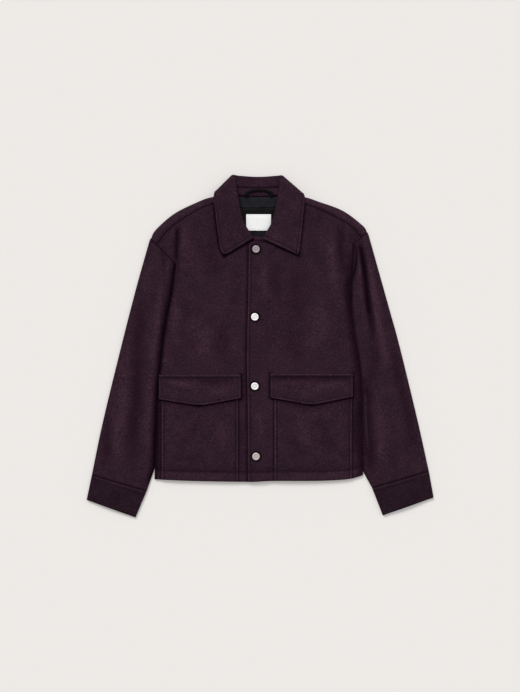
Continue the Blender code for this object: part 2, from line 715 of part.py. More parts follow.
def collar_section(station):
    """Middle points of the fall, from the seam with the stand over the roll to its outer edge."""
    roll, face, edge, neck = collar_frame(station)
    radius = ROLL_RADIUS * creased(station, CREASE_TIGHT)
    start = roll - face * radius
    away = (neck - start) / np.linalg.norm(neck - start)
    points = [start + away * station.rise * u for u in (1.0, 0.5)]
    lean = (edge - roll) / np.linalg.norm(edge - roll)
    for k in range(ROLL_STEPS):
        angle = math.pi * k / (ROLL_STEPS - 1)
        points.append(roll - face * radius * math.cos(angle) - lean * radius * math.sin(angle))
    leaf = roll + face * radius
    side = "left" if station.roll_x < CENTRE_X else "right"
    for u in np.linspace(0.0, 1.0, FALL_STEPS + 1)[1:]:
        x, y, z = leaf + (edge - leaf) * u
        if station.turn < FALL_ON_TOP:
            z = max(z, float(front_top(side, x, y)) + FALL_CLEAR)
        points.append(np.array([x, y, z]))
    return points


def stand_section(station):
    """Middle points of the stand, from the seam with the fall to the neck seam."""
    roll, face, _, neck = collar_frame(station)
    start = roll - face * ROLL_RADIUS
    reach = np.linalg.norm(neck - start)
    away = (neck - start) / reach
    first = station.rise + SEAM
    return [start + away * (first + (reach - first) * u) for u in (0.0, 0.5, 1.0)]


def grid_normals(grid):
    """Unit normals of a grid of points."""
    along = np.gradient(grid, axis=0)
    across = np.gradient(grid, axis=1)
    normal = np.cross(along, across)
    return normal / np.linalg.norm(normal, axis=2, keepdims=True)


def thicken(name, grid, thickness, material):
    """A wall on both sides of a middle grid, with one thickness for each of its rows."""
    offset = grid_normals(grid) * 0.5 * np.asarray(thickness)[:, None, None]
    return wall(name, grid + offset, grid - offset, material)


def build_collar(material):
    """The fall, in one piece from point to point, and the stand that shows at the back of the neck."""
    stations = collar_stations()
    grid = np.array([collar_section(s) for s in stations])
    thicken("collar_fall", grid, [FALL_CLOTH * creased(s, CREASE_PRESS) for s in stations], material)
    standing = np.array([stand_section(s) for s in stations if s.turn > STAND_TURN])
    thicken("collar_stand", standing, np.full(len(standing), STAND_CLOTH), material)


def laid_patch(name, outline_rows, thickness, height, material):
    """A piece laid on a surface: rows of places on the page, raised to a height function."""
    rows = np.asarray(outline_rows, float)
    under = np.dstack([rows, height(rows[..., 0], rows[..., 1])[..., None]])
    over = under + np.array([0.0, 0.0, thickness])
    return wall(name, over, under, material)


def pocket_base(side):
    """A pocket lies a seam's gap over the front."""

    def height(x, y):
        return front_top(side, x, y) + SEAM

    return height


def flap_base(side):
    """A flap lies on the front above the pocket's mouth and on the pocket below it."""
    mouth = POCKETS[side].top_y

    def height(x, y):
        on_pocket = 1.0 - smooth_step(y, mouth + FLAP_STEP[0], mouth + FLAP_STEP[1])
        return front_top(side, x, y) + SEAM + (POCKET_CLOTH + SEAM) * on_pocket

    return height


def build_pocket(side, material):
    """A patch pocket, from the hem up to its straight mouth."""
    pocket = POCKETS[side]
    xs = np.linspace(pocket.inner_x, pocket.outer_x, POCKET_COLUMNS)
    bottoms = hem_y(xs) + POCKET_HEM_INSET
    rows = []
    for share in np.linspace(0.0, 1.0, POCKET_ROWS):
        rows.append(np.column_stack([xs, bottoms + (pocket.top_y - bottoms) * share]))
    return laid_patch(f"pocket_{side}", rows, POCKET_CLOTH, pocket_base(side), material)


def flap_lower(flap):
    """A flap's lower edge: two straight halves that meet at its point."""
    point = np.array([flap.point_x, flap.point_y])
    inner_half = np.linspace([flap.inner_x, flap.inner_y], point, FLAP_HALF + 1)
    outer_half = np.linspace(point, [flap.outer_x, flap.outer_y], FLAP_HALF + 1)
    return np.vstack([inner_half, outer_half[1:]])


def build_flap(side, material):
    """A flap, from its straight upper edge over the pocket's mouth to its pointed lower edge."""
    flap = FLAPS[side]
    lower = flap_lower(flap)
    mouth = POCKETS[side].top_y
    step = mouth + FLAP_STEP[0]
    rows = []
    for y in (flap.top_y, mouth + FLAP_STEP[1]):
        rows.append(np.column_stack([lower[:, 0], np.full(len(lower), y)]))
    for share in FLAP_SHARES:
        rows.append(np.column_stack([lower[:, 0], step + (lower[:, 1] - step) * share]))
    return laid_patch(f"flap_{side}", rows, FLAP_CLOTH, flap_base(side), material)


def build_stud(stud, material):
    """A press stud's cap: a low dome with a rolled rim and a shallow dish, turned in one piece."""
    base = float(front_top("right", stud.x, stud.y)) + SEAM
    points = [(stud.x, stud.y, base)]
    for ring in STUD_RINGS:
        radius = STUD_RADIUS * ring.radius
        z = base + STUD_HEIGHT * ring.height
        for k in range(STUD_SIDES):
            angle = 2.0 * math.pi * k / STUD_SIDES
            points.append((stud.x + radius * math.cos(angle), stud.y + radius * math.sin(angle), z))
    points.append((stud.x, stud.y, base + STUD_HEIGHT * STUD_DISH))
    rings = len(STUD_RINGS)
    faces = []
    for k in range(STUD_SIDES):
        near, far = 1 + k, 1 + (k + 1) % STUD_SIDES
        faces.append((0, far, near))
        for ring in range(rings - 1):
            a, b = near + ring * STUD_SIDES, far + ring * STUD_SIDES
            faces.append((a, b, b + STUD_SIDES, a + STUD_SIDES))
        top = (rings - 1) * STUD_SIDES
        faces.append((near + top, far + top, len(points) - 1))
    return add_mesh(stud.name, points, faces, material)


def patch_rows(patch):
    """Rows of places over a straight-sided piece."""
    xs = np.linspace(patch.x0, patch.x1, patch.columns)
    ys = np.linspace(patch.y0, patch.y1, patch.rows)
    return [np.column_stack([xs, np.full(patch.columns, y)]) for y in ys]


def lining_base(x, y):
    """Height of the lining's underside over the back."""
    return lift(x, y) + CLOTH + LINING_GAP


def label_base(x, y):
    """Height of the label's underside over the lining."""
    return lining_base(x, y) + LINING_CLOTH + SEAM


def build_neck_inside(lining, label):
    """What shows inside the neck: two lining pieces and a blank label."""
    laid_patch("lining_yoke", patch_rows(LINING_YOKE), LINING_CLOTH, lining_base, lining)
    laid_patch("lining_back", patch_rows(LINING_BACK), LINING_CLOTH, lining_base, lining)
    laid_patch("label", patch_rows(LABEL), LABEL_CLOTH, label_base, label)


def build_loop(material):
    """The hanger loop: a flat tape that arches over the stand from foot to foot."""
    roll, face, _, neck = collar_frame(COLLAR_BACK)
    start = roll - face * ROLL_RADIUS
    slope = (start[2] - neck[2]) / (start[1] - neck[1])
    half_span = 0.5 * (LOOP_FEET_X[1] - LOOP_FEET_X[0])
    foot = np.array([0.5 * sum(LOOP_FEET_X), LOOP_FOOT_Y])
    inner = 1.0 - LOOP_WIDTH / np.array([half_span, LOOP_RISE + LOOP_WIDTH])
    rows = []
    for angle in np.linspace(math.pi, 0.0, LOOP_STEPS + 1):
        arch = np.array([math.cos(angle) * half_span, math.sin(angle) ** LOOP_FULLNESS * LOOP_RISE])
        rows.append([foot + arch, foot + arch * inner])

    def on_stand(x, y):
        return neck[2] + slope * (y - neck[1]) + 0.5 * STAND_CLOTH + 2 * SEAM

    laid_patch("hanger_loop", rows, LOOP_CLOTH, on_stand, material)


def main():
    for obj in list(bpy.data.objects):
        bpy.data.objects.remove(obj)
    wool = make_material("wool", (0.030, 0.013, 0.022), 0.92)
    lining = make_material("lining", (0.014, 0.014, 0.017), 0.55)
    label = make_material("label", (0.93, 0.93, 0.92), 0.7)
    metal = make_material("stud_metal", (0.62, 0.58, 0.56), 0.32, 1.0)
    build_back(wool)
    for side in ("left", "right"):
        build_front(side, wool)
        build_yoke(side, wool)
        build_sleeve(side, wool)
        build_cuff(side, wool)
        build_pocket(side, wool)
        build_flap(side, wool)
    build_collar(wool)
    for stud in STUDS:
        build_stud(stud, metal)
    build_neck_inside(lining, label)
    build_loop(lining)


main()
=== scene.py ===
"""Looks of the utility jacket: cloth shells, sewing, trims, materials, light and camera.

Lengths are in millimetres until a mesh is made. The jacket lies on the floor z = 0 with its front up,
+Y is towards the collar, and left and right are as seen from above.
"""

import math
from collections import namedtuple

import bpy
import numpy as np
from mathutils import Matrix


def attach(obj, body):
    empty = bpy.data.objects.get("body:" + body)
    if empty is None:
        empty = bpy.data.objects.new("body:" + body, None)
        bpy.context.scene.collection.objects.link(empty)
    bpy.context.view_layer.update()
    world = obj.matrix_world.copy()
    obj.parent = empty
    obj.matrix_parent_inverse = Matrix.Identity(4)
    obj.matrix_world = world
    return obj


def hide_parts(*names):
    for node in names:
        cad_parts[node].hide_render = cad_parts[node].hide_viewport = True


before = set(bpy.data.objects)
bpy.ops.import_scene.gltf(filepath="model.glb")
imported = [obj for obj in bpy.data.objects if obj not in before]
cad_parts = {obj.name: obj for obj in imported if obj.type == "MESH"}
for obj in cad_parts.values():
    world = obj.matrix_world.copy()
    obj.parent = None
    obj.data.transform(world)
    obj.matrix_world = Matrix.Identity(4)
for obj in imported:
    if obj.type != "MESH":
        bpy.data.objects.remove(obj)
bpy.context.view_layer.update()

MM = 0.001
SIDES = ("left", "right")
HAND = {"left": -1.0, "right": 1.0}  # the way out from the middle

# Cloth and layers
CLOTH = 1.9
FOLD_RADIUS = 3.9  # half the depth of the body at its sides and shoulders
BODY_DEPTH = 13.5  # floor to the top of a front, at the middle of the chest
CROWN_REACH = 46.0  # distance from a side over which a front rises to its full height
TURN_REACH = 5.0  # width of the rounded turn at a side or shoulder
EDGE_ROUND = 1.7  # rounding of a cut or folded edge
EDGE_KEPT = 0.05  # a cloth's edge ends this far outside the rounding's zero
FOLD_GAP = 0.15  # the front's cloth starts this far above the back's at a fold
LAYER_GAP = 0.25  # between a front and a pocket or flap on it
SEAM_DIP = 1.9  # how deep two pieces dip where they are sewn together
SEAM_SPREAD = 3.0
GROOVE_DEPTH = 0.75  # how deep a row of stitching sinks into the cloth
GROOVE_SPREAD = 1.5
CENTRE_X = -4.0  # the jacket's own middle line

# How far the shade reaches in from a body's side, and a sleeve's inner edge, and how strong it is
SIDE_SHADE = {"left": (9.0, 0.85), "right": (24.0, 0.68)}
SLEEVE_SHADE = {"left": (18.0, 0.94), "right": (9.0, 0.6)}

# Shade beside the collar's end, the collar's edge and the flap, where they lie on a front
CONTACT_SHADE = {"left": (0.99, 0.97, 0.86), "right": (0.99, 0.72, 0.8)}
CONTACT_SPREAD = 4.6

# Front closing; lines are lists of places, each an x and a y
FRONT_EDGE_X = -25.3
FRONT_EDGE_BOW = [
    (-1.8, -315.0), (-2.4, -170.0), (-4.2, -55.0), (-3.8, 20.0), (-1.6, 110.0), (0.0, 215.0),
]
UNDERLAP_X = 9.0
UNDERLAP_RAMP = 15.5
TOP_RAMP_SHIFT = 18.0
OVERLAP = 3.1
TOP_EDGE = {"left": 252.6, "right": 239.8}
TOP_STRETCH = 26.0  # length of the centre edge that faces the armhole
# Upper end of a front's centre edge: distances in from the edge and down from the end
FRONT_CORNER = [(0.0, TOP_STRETCH), (0.0, 10.0), (3.0, 2.6), (10.0, 0.0), (24.0, 0.0)]

SIDE_LINE = {
    "left": [
        (-243.0, -306.5), (-239.0, -181.0), (-234.4, -100.0), (-220.6, 30.0), (-204.5, 118.0),
        (-194.6, 188.0),
    ],
    "right": [
        (237.5, -297.0), (235.8, -181.0), (232.8, -70.0), (216.0, 40.0), (211.0, 110.0), (215.8, 236.5),
    ],
}
SHOULDER_LINE = {
    "left": [
        (-251.6, 247.0), (-239.4, 268.8), (-196.0, 306.2), (-138.3, 334.3), (-108.3, 343.2),
        (-68.0, 348.5),
    ],
    "right": [
        (247.7, 260.4), (237.2, 277.6), (190.8, 312.2), (133.0, 333.8), (100.5, 343.4), (60.0, 348.5),
    ],
}
FORWARD_SEAM = {
    "left": [
        (-237.9, 232.8), (-207.9, 270.0), (-152.5, 308.0), (-111.6, 325.0), (-73.0, 335.0),
    ],
    "right": [
        (235.5, 248.7), (205.6, 279.0), (144.0, 311.5), (102.8, 326.0), (65.0, 335.0),
    ],
}
HEM_LINE = [
    (-243.0, -306.5), (-150.0, -310.4), (-26.0, -312.2), (25.0, -310.2), (128.0, -310.0),
    (183.0, -308.0), (215.0, -304.0), (237.5, -297.0),
]
BACK_HEM_RISE = 2.0
BACK_NECK_DIP = 5.0
HEM_SINK = 3.6  # the front comes down towards the back at the hem
HEM_STITCH = 22.0  # the hem is sewn this far above its edge
HEM_LEVEL = -310.0  # the hem's height in plan at the pockets, for the spacing of their rows
HEM_BLEND = 70.0  # height over which a front takes up the hem's curve

# The collar's fall lies under the back at the neck and lifts it off the floor there.
NECK_LIFT = 6.2
LIFT_Y = (262.0, 318.0)
LIFT_X = (104.0, 150.0)

# Creases, each through three given places: a positive depth is a trough, a negative one is a ridge.
Crease = namedtuple("Crease", "x0 y0 x1 y1 x2 y2 half_width depth")
BODY_CREASES = {
    "left": [
        Crease(-189.0, 292.0, -191.0, 232.0, -195.0, 160.0, 7.0, 3.6),
        Crease(-168.0, 290.0, -166.0, 235.0, -172.0, 150.0, 12.0, -1.0),
        Crease(-150.0, 75.0, -138.0, 20.0, -118.0, -40.0, 26.0, -1.8),
        Crease(-196.0, 115.0, -195.0, 46.0, -190.0, -20.0, 11.0, -2.0),
        Crease(-92.0, 60.0, -86.0, 5.0, -98.0, -50.0, 17.0, 1.7),
        Crease(-128.0, 250.0, -112.0, 205.0, -108.0, 150.0, 18.0, 1.5),
        Crease(-56.0, 200.0, -52.0, 130.0, -60.0, 60.0, 13.0, 1.3),
        Crease(-46.0, -150.0, -42.0, -210.0, -46.0, -290.0, 9.0, 1.2),
        Crease(-232.0, -95.0, -234.0, -190.0, -237.0, -330.0, 8.0, 4.2),
    ],
    "right": [
        Crease(183.0, 292.0, 187.0, 225.0, 190.0, 150.0, 9.0, 3.0),
        Crease(204.0, 165.0, 203.0, 110.0, 207.0, 55.0, 8.5, 2.8),
        Crease(160.0, 270.0, 166.0, 200.0, 178.0, 90.0, 15.0, -1.7),
        Crease(8.0, 205.0, 10.0, 160.0, 14.0, 105.0, 9.0, -1.9),
        Crease(34.0, 200.0, 40.0, 150.0, 42.0, 85.0, 12.0, 1.5),
        Crease(96.0, 200.0, 84.0, 130.0, 90.0, 40.0, 20.0, 1.4),
        Crease(120.0, 110.0, 130.0, 50.0, 126.0, -30.0, 22.0, -1.5),
        Crease(70.0, 40.0, 76.0, 0.0, 98.0, -45.0, 18.0, 1.4),
        Crease(222.0, -120.0, 221.0, -190.0, 222.0, -280.0, 10.0, 2.6),
        Crease(-4.0, -140.0, 2.0, -190.0, -3.0, -230.0, 10.0, -1.2),
    ],
}
BACK_CREASES = [
    Crease(-160.0, 225.0, -124.0, 120.0, -130.0, 10.0, 16.0, 1.2),
    Crease(146.0, 235.0, 112.0, 110.0, 122.0, -20.0, 17.0, 1.1),
    Crease(-34.0, 262.0, -18.0, 150.0, -42.0, 30.0, 20.0, 1.0),
    Crease(-205.0, -50.0, -140.0, -118.0, -60.0, -150.0, 15.0, 1.0),
    Crease(46.0, -30.0, 110.0, -120.0, 196.0, -172.0, 18.0, 1.1),
    Crease(-24.0, -150.0, 10.0, -222.0, -10.0, -300.0, 14.0, 0.9),
]
UNDER_SHARE = 0.2  # depth of the creases under a sleeve as a share of those on its upper side
SLEEVE_CREASES = {
    "left": [
        Crease(-222.0, 195.0, -237.0, 50.0, -268.0, -300.0, 12.0, -1.7),
        Crease(-217.0, 190.0, -233.0, 60.0, -246.0, -40.0, 7.0, -1.7),
        Crease(-250.0, 160.0, -281.0, 10.0, -290.0, -290.0, 15.0, 3.0),
        Crease(-298.0, -60.0, -322.0, -170.0, -322.0, -300.0, 14.0, -1.5),
        Crease(-248.0, 215.0, -258.0, 160.0, -270.0, 90.0, 11.0, -1.2),
        Crease(-345.0, -140.0, -352.0, -220.0, -362.0, -290.0, 11.0, 1.8),
        Crease(-228.0, 226.0, -221.0, 196.0, -216.0, 165.0, 7.0, 2.2),
    ],
    "right": [
        Crease(224.0, 264.0, 244.5, 145.0, 262.0, -10.0, 7.0, 6.2),
        Crease(219.0, 246.0, 228.0, 190.0, 233.0, 140.0, 4.0, -2.4),
        Crease(221.0, 240.0, 221.0, 186.0, 215.0, 140.0, 3.6, 2.8),
        Crease(243.0, 240.0, 266.0, 115.0, 302.0, -90.0, 11.0, -2.4),
        Crease(238.0, -50.0, 248.0, -180.0, 256.0, -320.0, 12.0, 4.4),
        Crease(300.0, 30.0, 328.0, -100.0, 364.0, -270.0, 13.0, 2.2),
        Crease(272.0, -110.0, 279.0, -195.0, 276.0, -300.0, 13.0, -1.4),
        Crease(258.0, 20.0, 262.0, -40.0, 262.0, -100.0, 13.0, 1.4),
        Crease(268.0, 190.0, 280.0, 130.0, 296.0, 60.0, 10.0, 1.5),
    ],
}
# The sharpest folds, whose bottom the light hardly reaches: a line, the spread and the strength of its shade.
Fold = namedtuple("Fold", "line spread strength")
DEEP_FOLDS = {
    "front_left": [Fold([(-190.4, 266.0), (-190.6, 240.0), (-192.4, 206.0)], 3.8, 0.6)],
    "front_right": [],
    "sleeve_left": [],
    "sleeve_right": [
        Fold([(231.0, 228.0), (238.6, 184.0), (243.2, 152.0), (247.2, 113.0), (250.0, 80.0)], 5.0, 0.62),
        Fold([(222.5, 228.0), (222.5, 205.0), (220.0, 184.0), (214.0, 160.0)], 3.2, 0.62),
    ],
}
# The tone multiplies a colour: below 1 it is painted shade, above 1 painted light, kept within this range.
TONE_RANGE = (0.08, 1.6)
CREASE_SHADE_PER_MM = 0.15  # painted shade: how much darker a crease is painted for each millimetre of its depth, and a ridge painted lighter
CREASE_LIPS = 0.25  # share of a crease's depth that stands up beside it

# Sleeves
SLEEVE_OUTER = {
    "left": [
        (-253.2, 247.4), (-287.0, 127.0), (-328.0, -34.0), (-363.4, -181.0), (-387.2, -296.0),
    ],
    "right": [
        (249.2, 260.8), (295.6, 95.0), (321.0, 3.0), (361.4, -163.0), (389.2, -288.0),
    ],
}
BandEnd = namedtuple("BandEnd", "outer_x outer_y inner_x inner_y")
SLEEVE_CUFF = {
    "left": BandEnd(-387.2, -296.0, -260.8, -333.5),
    "right": BandEnd(389.2, -288.0, 258.2, -326.0),
}
CUFF_END = {
    "left": BandEnd(-399.2, -353.6, -286.6, -394.2),
    "right": BandEnd(400.2, -348.4, 283.0, -389.6),
}
APEX_SHARE = {"left": 0.945, "right": 0.982}  # share of the body's side that the sleeve lies against
Depths = namedtuple("Depths", "along outer ridge ridge_place inner")
SLEEVE_DEPTHS = {
    "left": [
        Depths(0.00, 7.8, 12.0, 0.60, 10.6),
        Depths(0.08, 7.8, 15.4, 0.58, 8.4),
        Depths(0.30, 7.8, 17.2, 0.56, 5.2),
        Depths(0.60, 7.8, 16.6, 0.56, 4.6),
        Depths(0.88, 7.8, 14.6, 0.54, 5.2),
        Depths(1.00, 7.8, 11.6, 0.50, 7.6),
    ],
    "right": [
        Depths(0.00, 7.8, 12.0, 0.45, 10.8),
        Depths(0.08, 7.8, 15.6, 0.45, 9.0),
        Depths(0.30, 7.8, 17.0, 0.52, 6.0),
        Depths(0.60, 7.8, 16.4, 0.58, 5.2),
        Depths(0.88, 7.8, 14.6, 0.58, 5.4),
        Depths(1.00, 7.8, 11.6, 0.50, 7.6),
    ],
}
CUFF_DEPTHS = [
    Depths(0.00, 7.8, 11.4, 0.50, 7.6),
    Depths(0.14, 8.2, 12.4, 0.50, 8.2),
    Depths(1.00, 8.0, 10.6, 0.50, 8.0),
]
SLEEVE_LENGTH = 560.0  # along the outer edge, for the spacing of its rows
CUFF_STITCH = 8.0
SLEEVE_TUCK = 1.4  # a sleeve's head goes this far under the armhole seam
SIDE_TUCK = 0.5  # a sleeve's inner edge goes this far under the body's side
CUFF_TUCK = 0.25  # a cuff's upper edge goes this far into the cuff seam

# Collar stations from a front end to the middle of the back. A turn of 0 has the fall on top.
FALL_CLOTH = 3.0
STAND_CLOTH = 2.2
ROLL_RADIUS = 2.2
FALL_CLEAR = 0.7 + 0.5 * FALL_CLOTH
FALL_ON_TOP = 20.0
ROLL_LIFT = 1.4
FALL_PUFF = 2.4
CREASE_PRESS = 0.62
CREASE_TIGHT = 0.35
STAND_TURN = 160.0
BACK_ROLL_HEIGHT = 6.2
FRONT_NECK_TOP = 334.0
NECK_INSET = 1.2  # a front's neck edge keeps this far from the collar's own line
FAR_IN = 60.0  # distance that stands for the part of the fall away from its edge
COLLAR_STITCH = 5.5
SEWN_TURN = 40.0  # the fall's stitching shows where it is turned by less
TIP_REACH = 14.0  # distance from an end within which the row across it is found
TIP_ROUND = {"left": 9.0, "right": 3.0}
Station = namedtuple("Station", "roll_x roll_y edge_x edge_y neck_x neck_y turn rise")
COLLAR = {
    "left": [
        Station(-18.2, 246.4, -81.5, 208.0, -21.8, 244.6, 0, 2.2),
        Station(-27.5, 262.0, -89.5, 221.0, -31.7, 260.6, 0, 2.2),
        Station(-39.5, 283.0, -95.0, 248.0, -43.8, 281.4, 0, 2.4),
        Station(-49.0, 318.0, -100.0, 286.0, -53.6, 316.5, 0, 2.6),
        Station(-54.5, 350.0, -103.5, 318.0, -58.6, 346.8, 0, 3.0),
        Station(-58.5, 377.0, -106.0, 336.0, -63.0, 372.0, 12, 3.0),
        Station(-62.0, 385.8, -105.2, 350.0, -66.0, 381.0, 50, 2.2),
        Station(-64.4, 391.2, -102.6, 355.6, -66.4, 383.4, 90, 1.6),
        Station(-60.6, 392.0, -97.0, 349.5, -62.6, 375.0, 130, 3.2),
        Station(-52.5, 389.7, -85.0, 328.0, -60.0, 350.0, 168, 21.0),
        Station(-40.0, 388.4, -54.0, 320.0, -43.0, 347.0, 180, 22.0),
        Station(-22.0, 387.0, -27.0, 318.5, -23.0, 344.9, 180, 22.0),
    ],
    "right": [
        Station(8.6, 245.6, 88.0, 209.5, 12.6, 243.6, 0, 2.2),
        Station(18.5, 262.0, 91.0, 224.0, 22.8, 260.6, 0, 2.2),
        Station(30.0, 283.0, 94.5, 250.0, 34.4, 281.4, 0, 2.4),
        Station(40.0, 318.0, 98.5, 288.0, 44.6, 316.5, 0, 2.6),
        Station(45.5, 350.0, 101.5, 320.0, 49.8, 346.8, 0, 3.0),
        Station(49.5, 377.0, 103.0, 336.0, 54.0, 372.0, 12, 3.0),
        Station(51.2, 384.5, 102.0, 346.0, 55.5, 380.0, 50, 2.2),
        Station(52.8, 389.6, 99.5, 351.0, 55.0, 382.0, 90, 1.6),
        Station(49.1, 391.0, 93.0, 346.0, 51.5, 374.0, 130, 3.2),
        Station(44.5, 389.7, 78.0, 328.0, 52.0, 350.0, 168, 21.0),
        Station(32.0, 388.4, 46.0, 320.0, 35.0, 347.0, 180, 22.0),
        Station(14.0, 387.0, 19.0, 318.5, 15.0, 344.9, 180, 22.0),
    ],
}
COLLAR_BACK = Station(-4.0, 386.4, -4.0, 318.0, -4.0, 344.4, 180, 22.0)

# Pockets and flaps
POCKET_CLOTH = 1.9
POCKET_PUFF = 2.8
FLAP_CLOTH = 3.0
FLAP_PUFF = 2.2
FLAP_ROUND = 1.9
FLAP_STAND = 1.1  # how far a flap's lower part stands off the pocket
POINT_BLUNT = 2.2  # how much a flap's point is cut off by its rounding
Pocket = namedtuple("Pocket", "inner_x outer_x top_y inner_rows outer_rows")
POCKETS = {
    "left": Pocket(-49.0, -227.4, -84.0, (1.5, 6.3), (1.5, 7.0)),
    "right": Pocket(31.8, 212.6, -84.0, (1.5, 7.0), (1.5, 6.6)),
}
POCKET_CREASES = {
    "left": [
        Crease(-130.0, -150.0, -150.0, -190.0, -190.0, -235.0, 12.0, 1.3),
        Crease(-90.0, -165.0, -84.0, -205.0, -96.0, -255.0, 13.0, -1.3),
        Crease(-120.0, -240.0, -140.0, -252.0, -180.0, -262.0, 9.0, 0.9),
    ],
    "right": [
        Crease(100.0, -150.0, 96.0, -190.0, 116.0, -245.0, 12.0, -1.3),
        Crease(140.0, -160.0, 150.0, -205.0, 180.0, -250.0, 12.0, 1.3),
        Crease(70.0, -200.0, 84.0, -230.0, 110.0, -262.0, 10.0, 1.0),
    ],
}
Flap = namedtuple("Flap", "inner_x outer_x top_y inner_y point_x point_y outer_y")
FLAPS = {
    "left": Flap(-43.5, -232.3, -65.6, -119.8, -137.0, -136.9, -122.2),
    "right": Flap(24.3, 214.0, -63.6, -118.6, 118.5, -135.6, -116.2),
}
FLAP_CREASES = {
    "left": [
        Crease(-222.0, -80.0, -188.0, -88.0, -142.0, -96.0, 6.5, -2.2),
        Crease(-150.0, -78.0, -105.0, -82.0, -46.0, -82.0, 7.0, 2.4),
        Crease(-120.0, -112.0, -90.0, -106.0, -60.0, -108.0, 8.0, -0.9),
    ],
    "right": [
        Crease(20.0, -73.0, 66.0, -74.0, 130.0, -75.0, 5.5, 2.6),
        Crease(110.0, -101.0, 152.0, -94.0, 198.0, -90.0, 9.0, -1.6),
        Crease(112.0, -75.0, 165.0, -75.0, 218.0, -76.0, 5.5, 2.1),
    ],
}
FLAP_STEP = (3.0, 11.0)
FLAP_STITCH = 5.5
POCKET_HEM_INSET = 0.6
RIDGE_HIGHLIGHT = 0.75  # painted highlight on the ridge between a pocket's edge and its inner row of stitching
ROW_STEPS = np.array([-2.7, -1.9, -1.2, -0.6, 0.0, 0.6, 1.2, 2.0, 3.4])

# Press studs
Stud = namedtuple("Stud", "name x y plating tint")
STUDS = [
    Stud("stud_1", -9.0, 222.9, "grey", 0.68),
    Stud("stud_2", -11.7, 67.2, "bright", 1.0),
    Stud("stud_3", -11.7, -91.8, "bright", 0.95),
    Stud("stud_4", -9.0, -253.0, "grey", 1.08),
]
STUD_RADIUS = 9.0
STUD_HEIGHT = 3.4
STUD_SIDES = 72
# The cap's section as shares of its radius and height, with a tone: painted shadow on the skirt, a painted
# highlight on the rolled rim and painted shade in the groove
Turning = namedtuple("Turning", "radius height tone")
STUD_PROFILE = [
    Turning(0.80, 0.00, 0.10),
    Turning(0.95, 0.06, 0.10),
    Turning(1.00, 0.26, 0.12),
    Turning(0.985, 0.42, 0.14),
    Turning(0.965, 0.56, 0.20),
    Turning(0.945, 0.66, 0.70),
    Turning(0.91, 0.76, 1.05),
    Turning(0.86, 0.84, 1.16),
    Turning(0.78, 0.87, 1.18),
    Turning(0.70, 0.87, 1.16),
    Turning(0.64, 0.83, 1.05),
    Turning(0.59, 0.79, 0.90),
    Turning(0.54, 0.775, 0.80),
    Turning(0.48, 0.775, 0.80),
    Turning(0.42, 0.785, 0.86),
    Turning(0.36, 0.80, 0.95),
    Turning(0.30, 0.81, 1.02),
    Turning(0.18, 0.815, 1.04),
    Turning(0.08, 0.815, 1.04),
]

# Inside of the neck
LINING_CLOTH = 0.8
LINING_GAP = 3.4  # lining's underside over the back's outer face
Patch = namedtuple("Patch", "x0 x1 y0 y1")
LINING_YOKE = Patch(-66.0, 58.0, 318.2, 343.0)
LINING_BACK = Patch(-70.0, 62.0, 215.0, 317.6)
LABEL = Patch(-31.5, 25.6, 266.2, 303.4)
LOOP_WIDTH = 7.6
LOOP_FEET_X = (-35.0, 31.5)
LOOP_FOOT_Y = 345.0
LOOP_RISE = 16.0

# Other rows of stitching, by their distance from the edge or seam that they follow
FRONT_STITCH = 5.2
ARMHOLE_STITCH = 7.6
ARMHOLE_FADE = (95.0, 60.0)  # distances below the armhole's end between which its row's groove sets in
ARMHOLE_SEWN = 80.0  # distance below that end at which its stitches start
YOKE_STITCH = 5.0
FLAP_TOP_STITCH = 5.0
STAND_STITCH = 3.0
LABEL_STITCH = 2.2

# Sewing thread
STITCH_PITCH = 3.4
STITCH_LENGTH = 2.6
STITCH_RADIUS = 0.42
STITCH_RISE = 0.22  # how far a stitch stands off the cloth

# Distances from an edge at which panels are sampled closely
EDGE_STEPS = np.array([0.0, 0.2, 0.6, 1.2, 2.0, 3.0, 4.2, 4.9, 5.5, 6.1, 7.0, 8.6, 11.0])
TURN_STEPS = np.array([0.0, 0.1, 0.4, 0.9, 1.7, 2.7, 4.0, 5.4, 6.8, 7.6, 8.3, 9.2, 11.0])
HEM_STEPS = np.array([0.0, 0.2, 0.6, 1.2, 2.0, 3.2, 5.5, 8.5, 12.0, 16.0, 19.5, 21.0, 21.7, 22.4, 23.2, 24.8])
GRID_STEP = 3.6
BACK_STEP = 6.0
TUBE_STEP = 3.0
CENTRE_STEPS = np.concatenate([EDGE_STEPS, np.linspace(12.5, 35.0, 16)])
STUD_STEPS = np.linspace(-13.5, 13.5, 19)
CUFF_STEPS = np.array([0.0, 0.5, 1.3, 2.4, 4.0, 5.8, 7.0, 7.6, 8.2, 8.9, 10.2, 12.5])

# Rows of the meshes
CORNER_ROWS = 34  # rows of a front that end at the armhole
NECK_ROWS = 40  # rows of a front from the neck to the forward seam
YOKE_ROWS = 64
BACK_ARMHOLE_ROWS = 10
BACK_SHOULDER_ROWS = 34
# Shares of the back's side at which its rows start
BACK_UP = np.concatenate([[0.0, 0.001, 0.003], np.linspace(0.008, 1.0, 72)])
HIDDEN_POCKET_ROWS = 16  # rows of a pocket that its flap covers
LEAF_COLUMNS = 40  # columns of the fall that reach its outer edge

# A front's places with their distances and shares, and a flat tube's rings
Panel = namedtuple("Panel", "x y from_start from_end from_hem turn on_edge on_armhole")
Tube = namedtuple("Tube", "grid columns from_out from_in crease")

# Wool
WOOL_SHADES = [
    (0.30, (0.0105, 0.0036, 0.0074)),
    (0.50, (0.0252, 0.0107, 0.0184)),
    (0.71, (0.0500, 0.0256, 0.0390)),
]
WOOL_FLECK = (0.050, 0.028, 0.039)
WOOL_DEPTH = (0.86, 1.34, 0.98)  # in the shade the wool keeps its red and loses its green

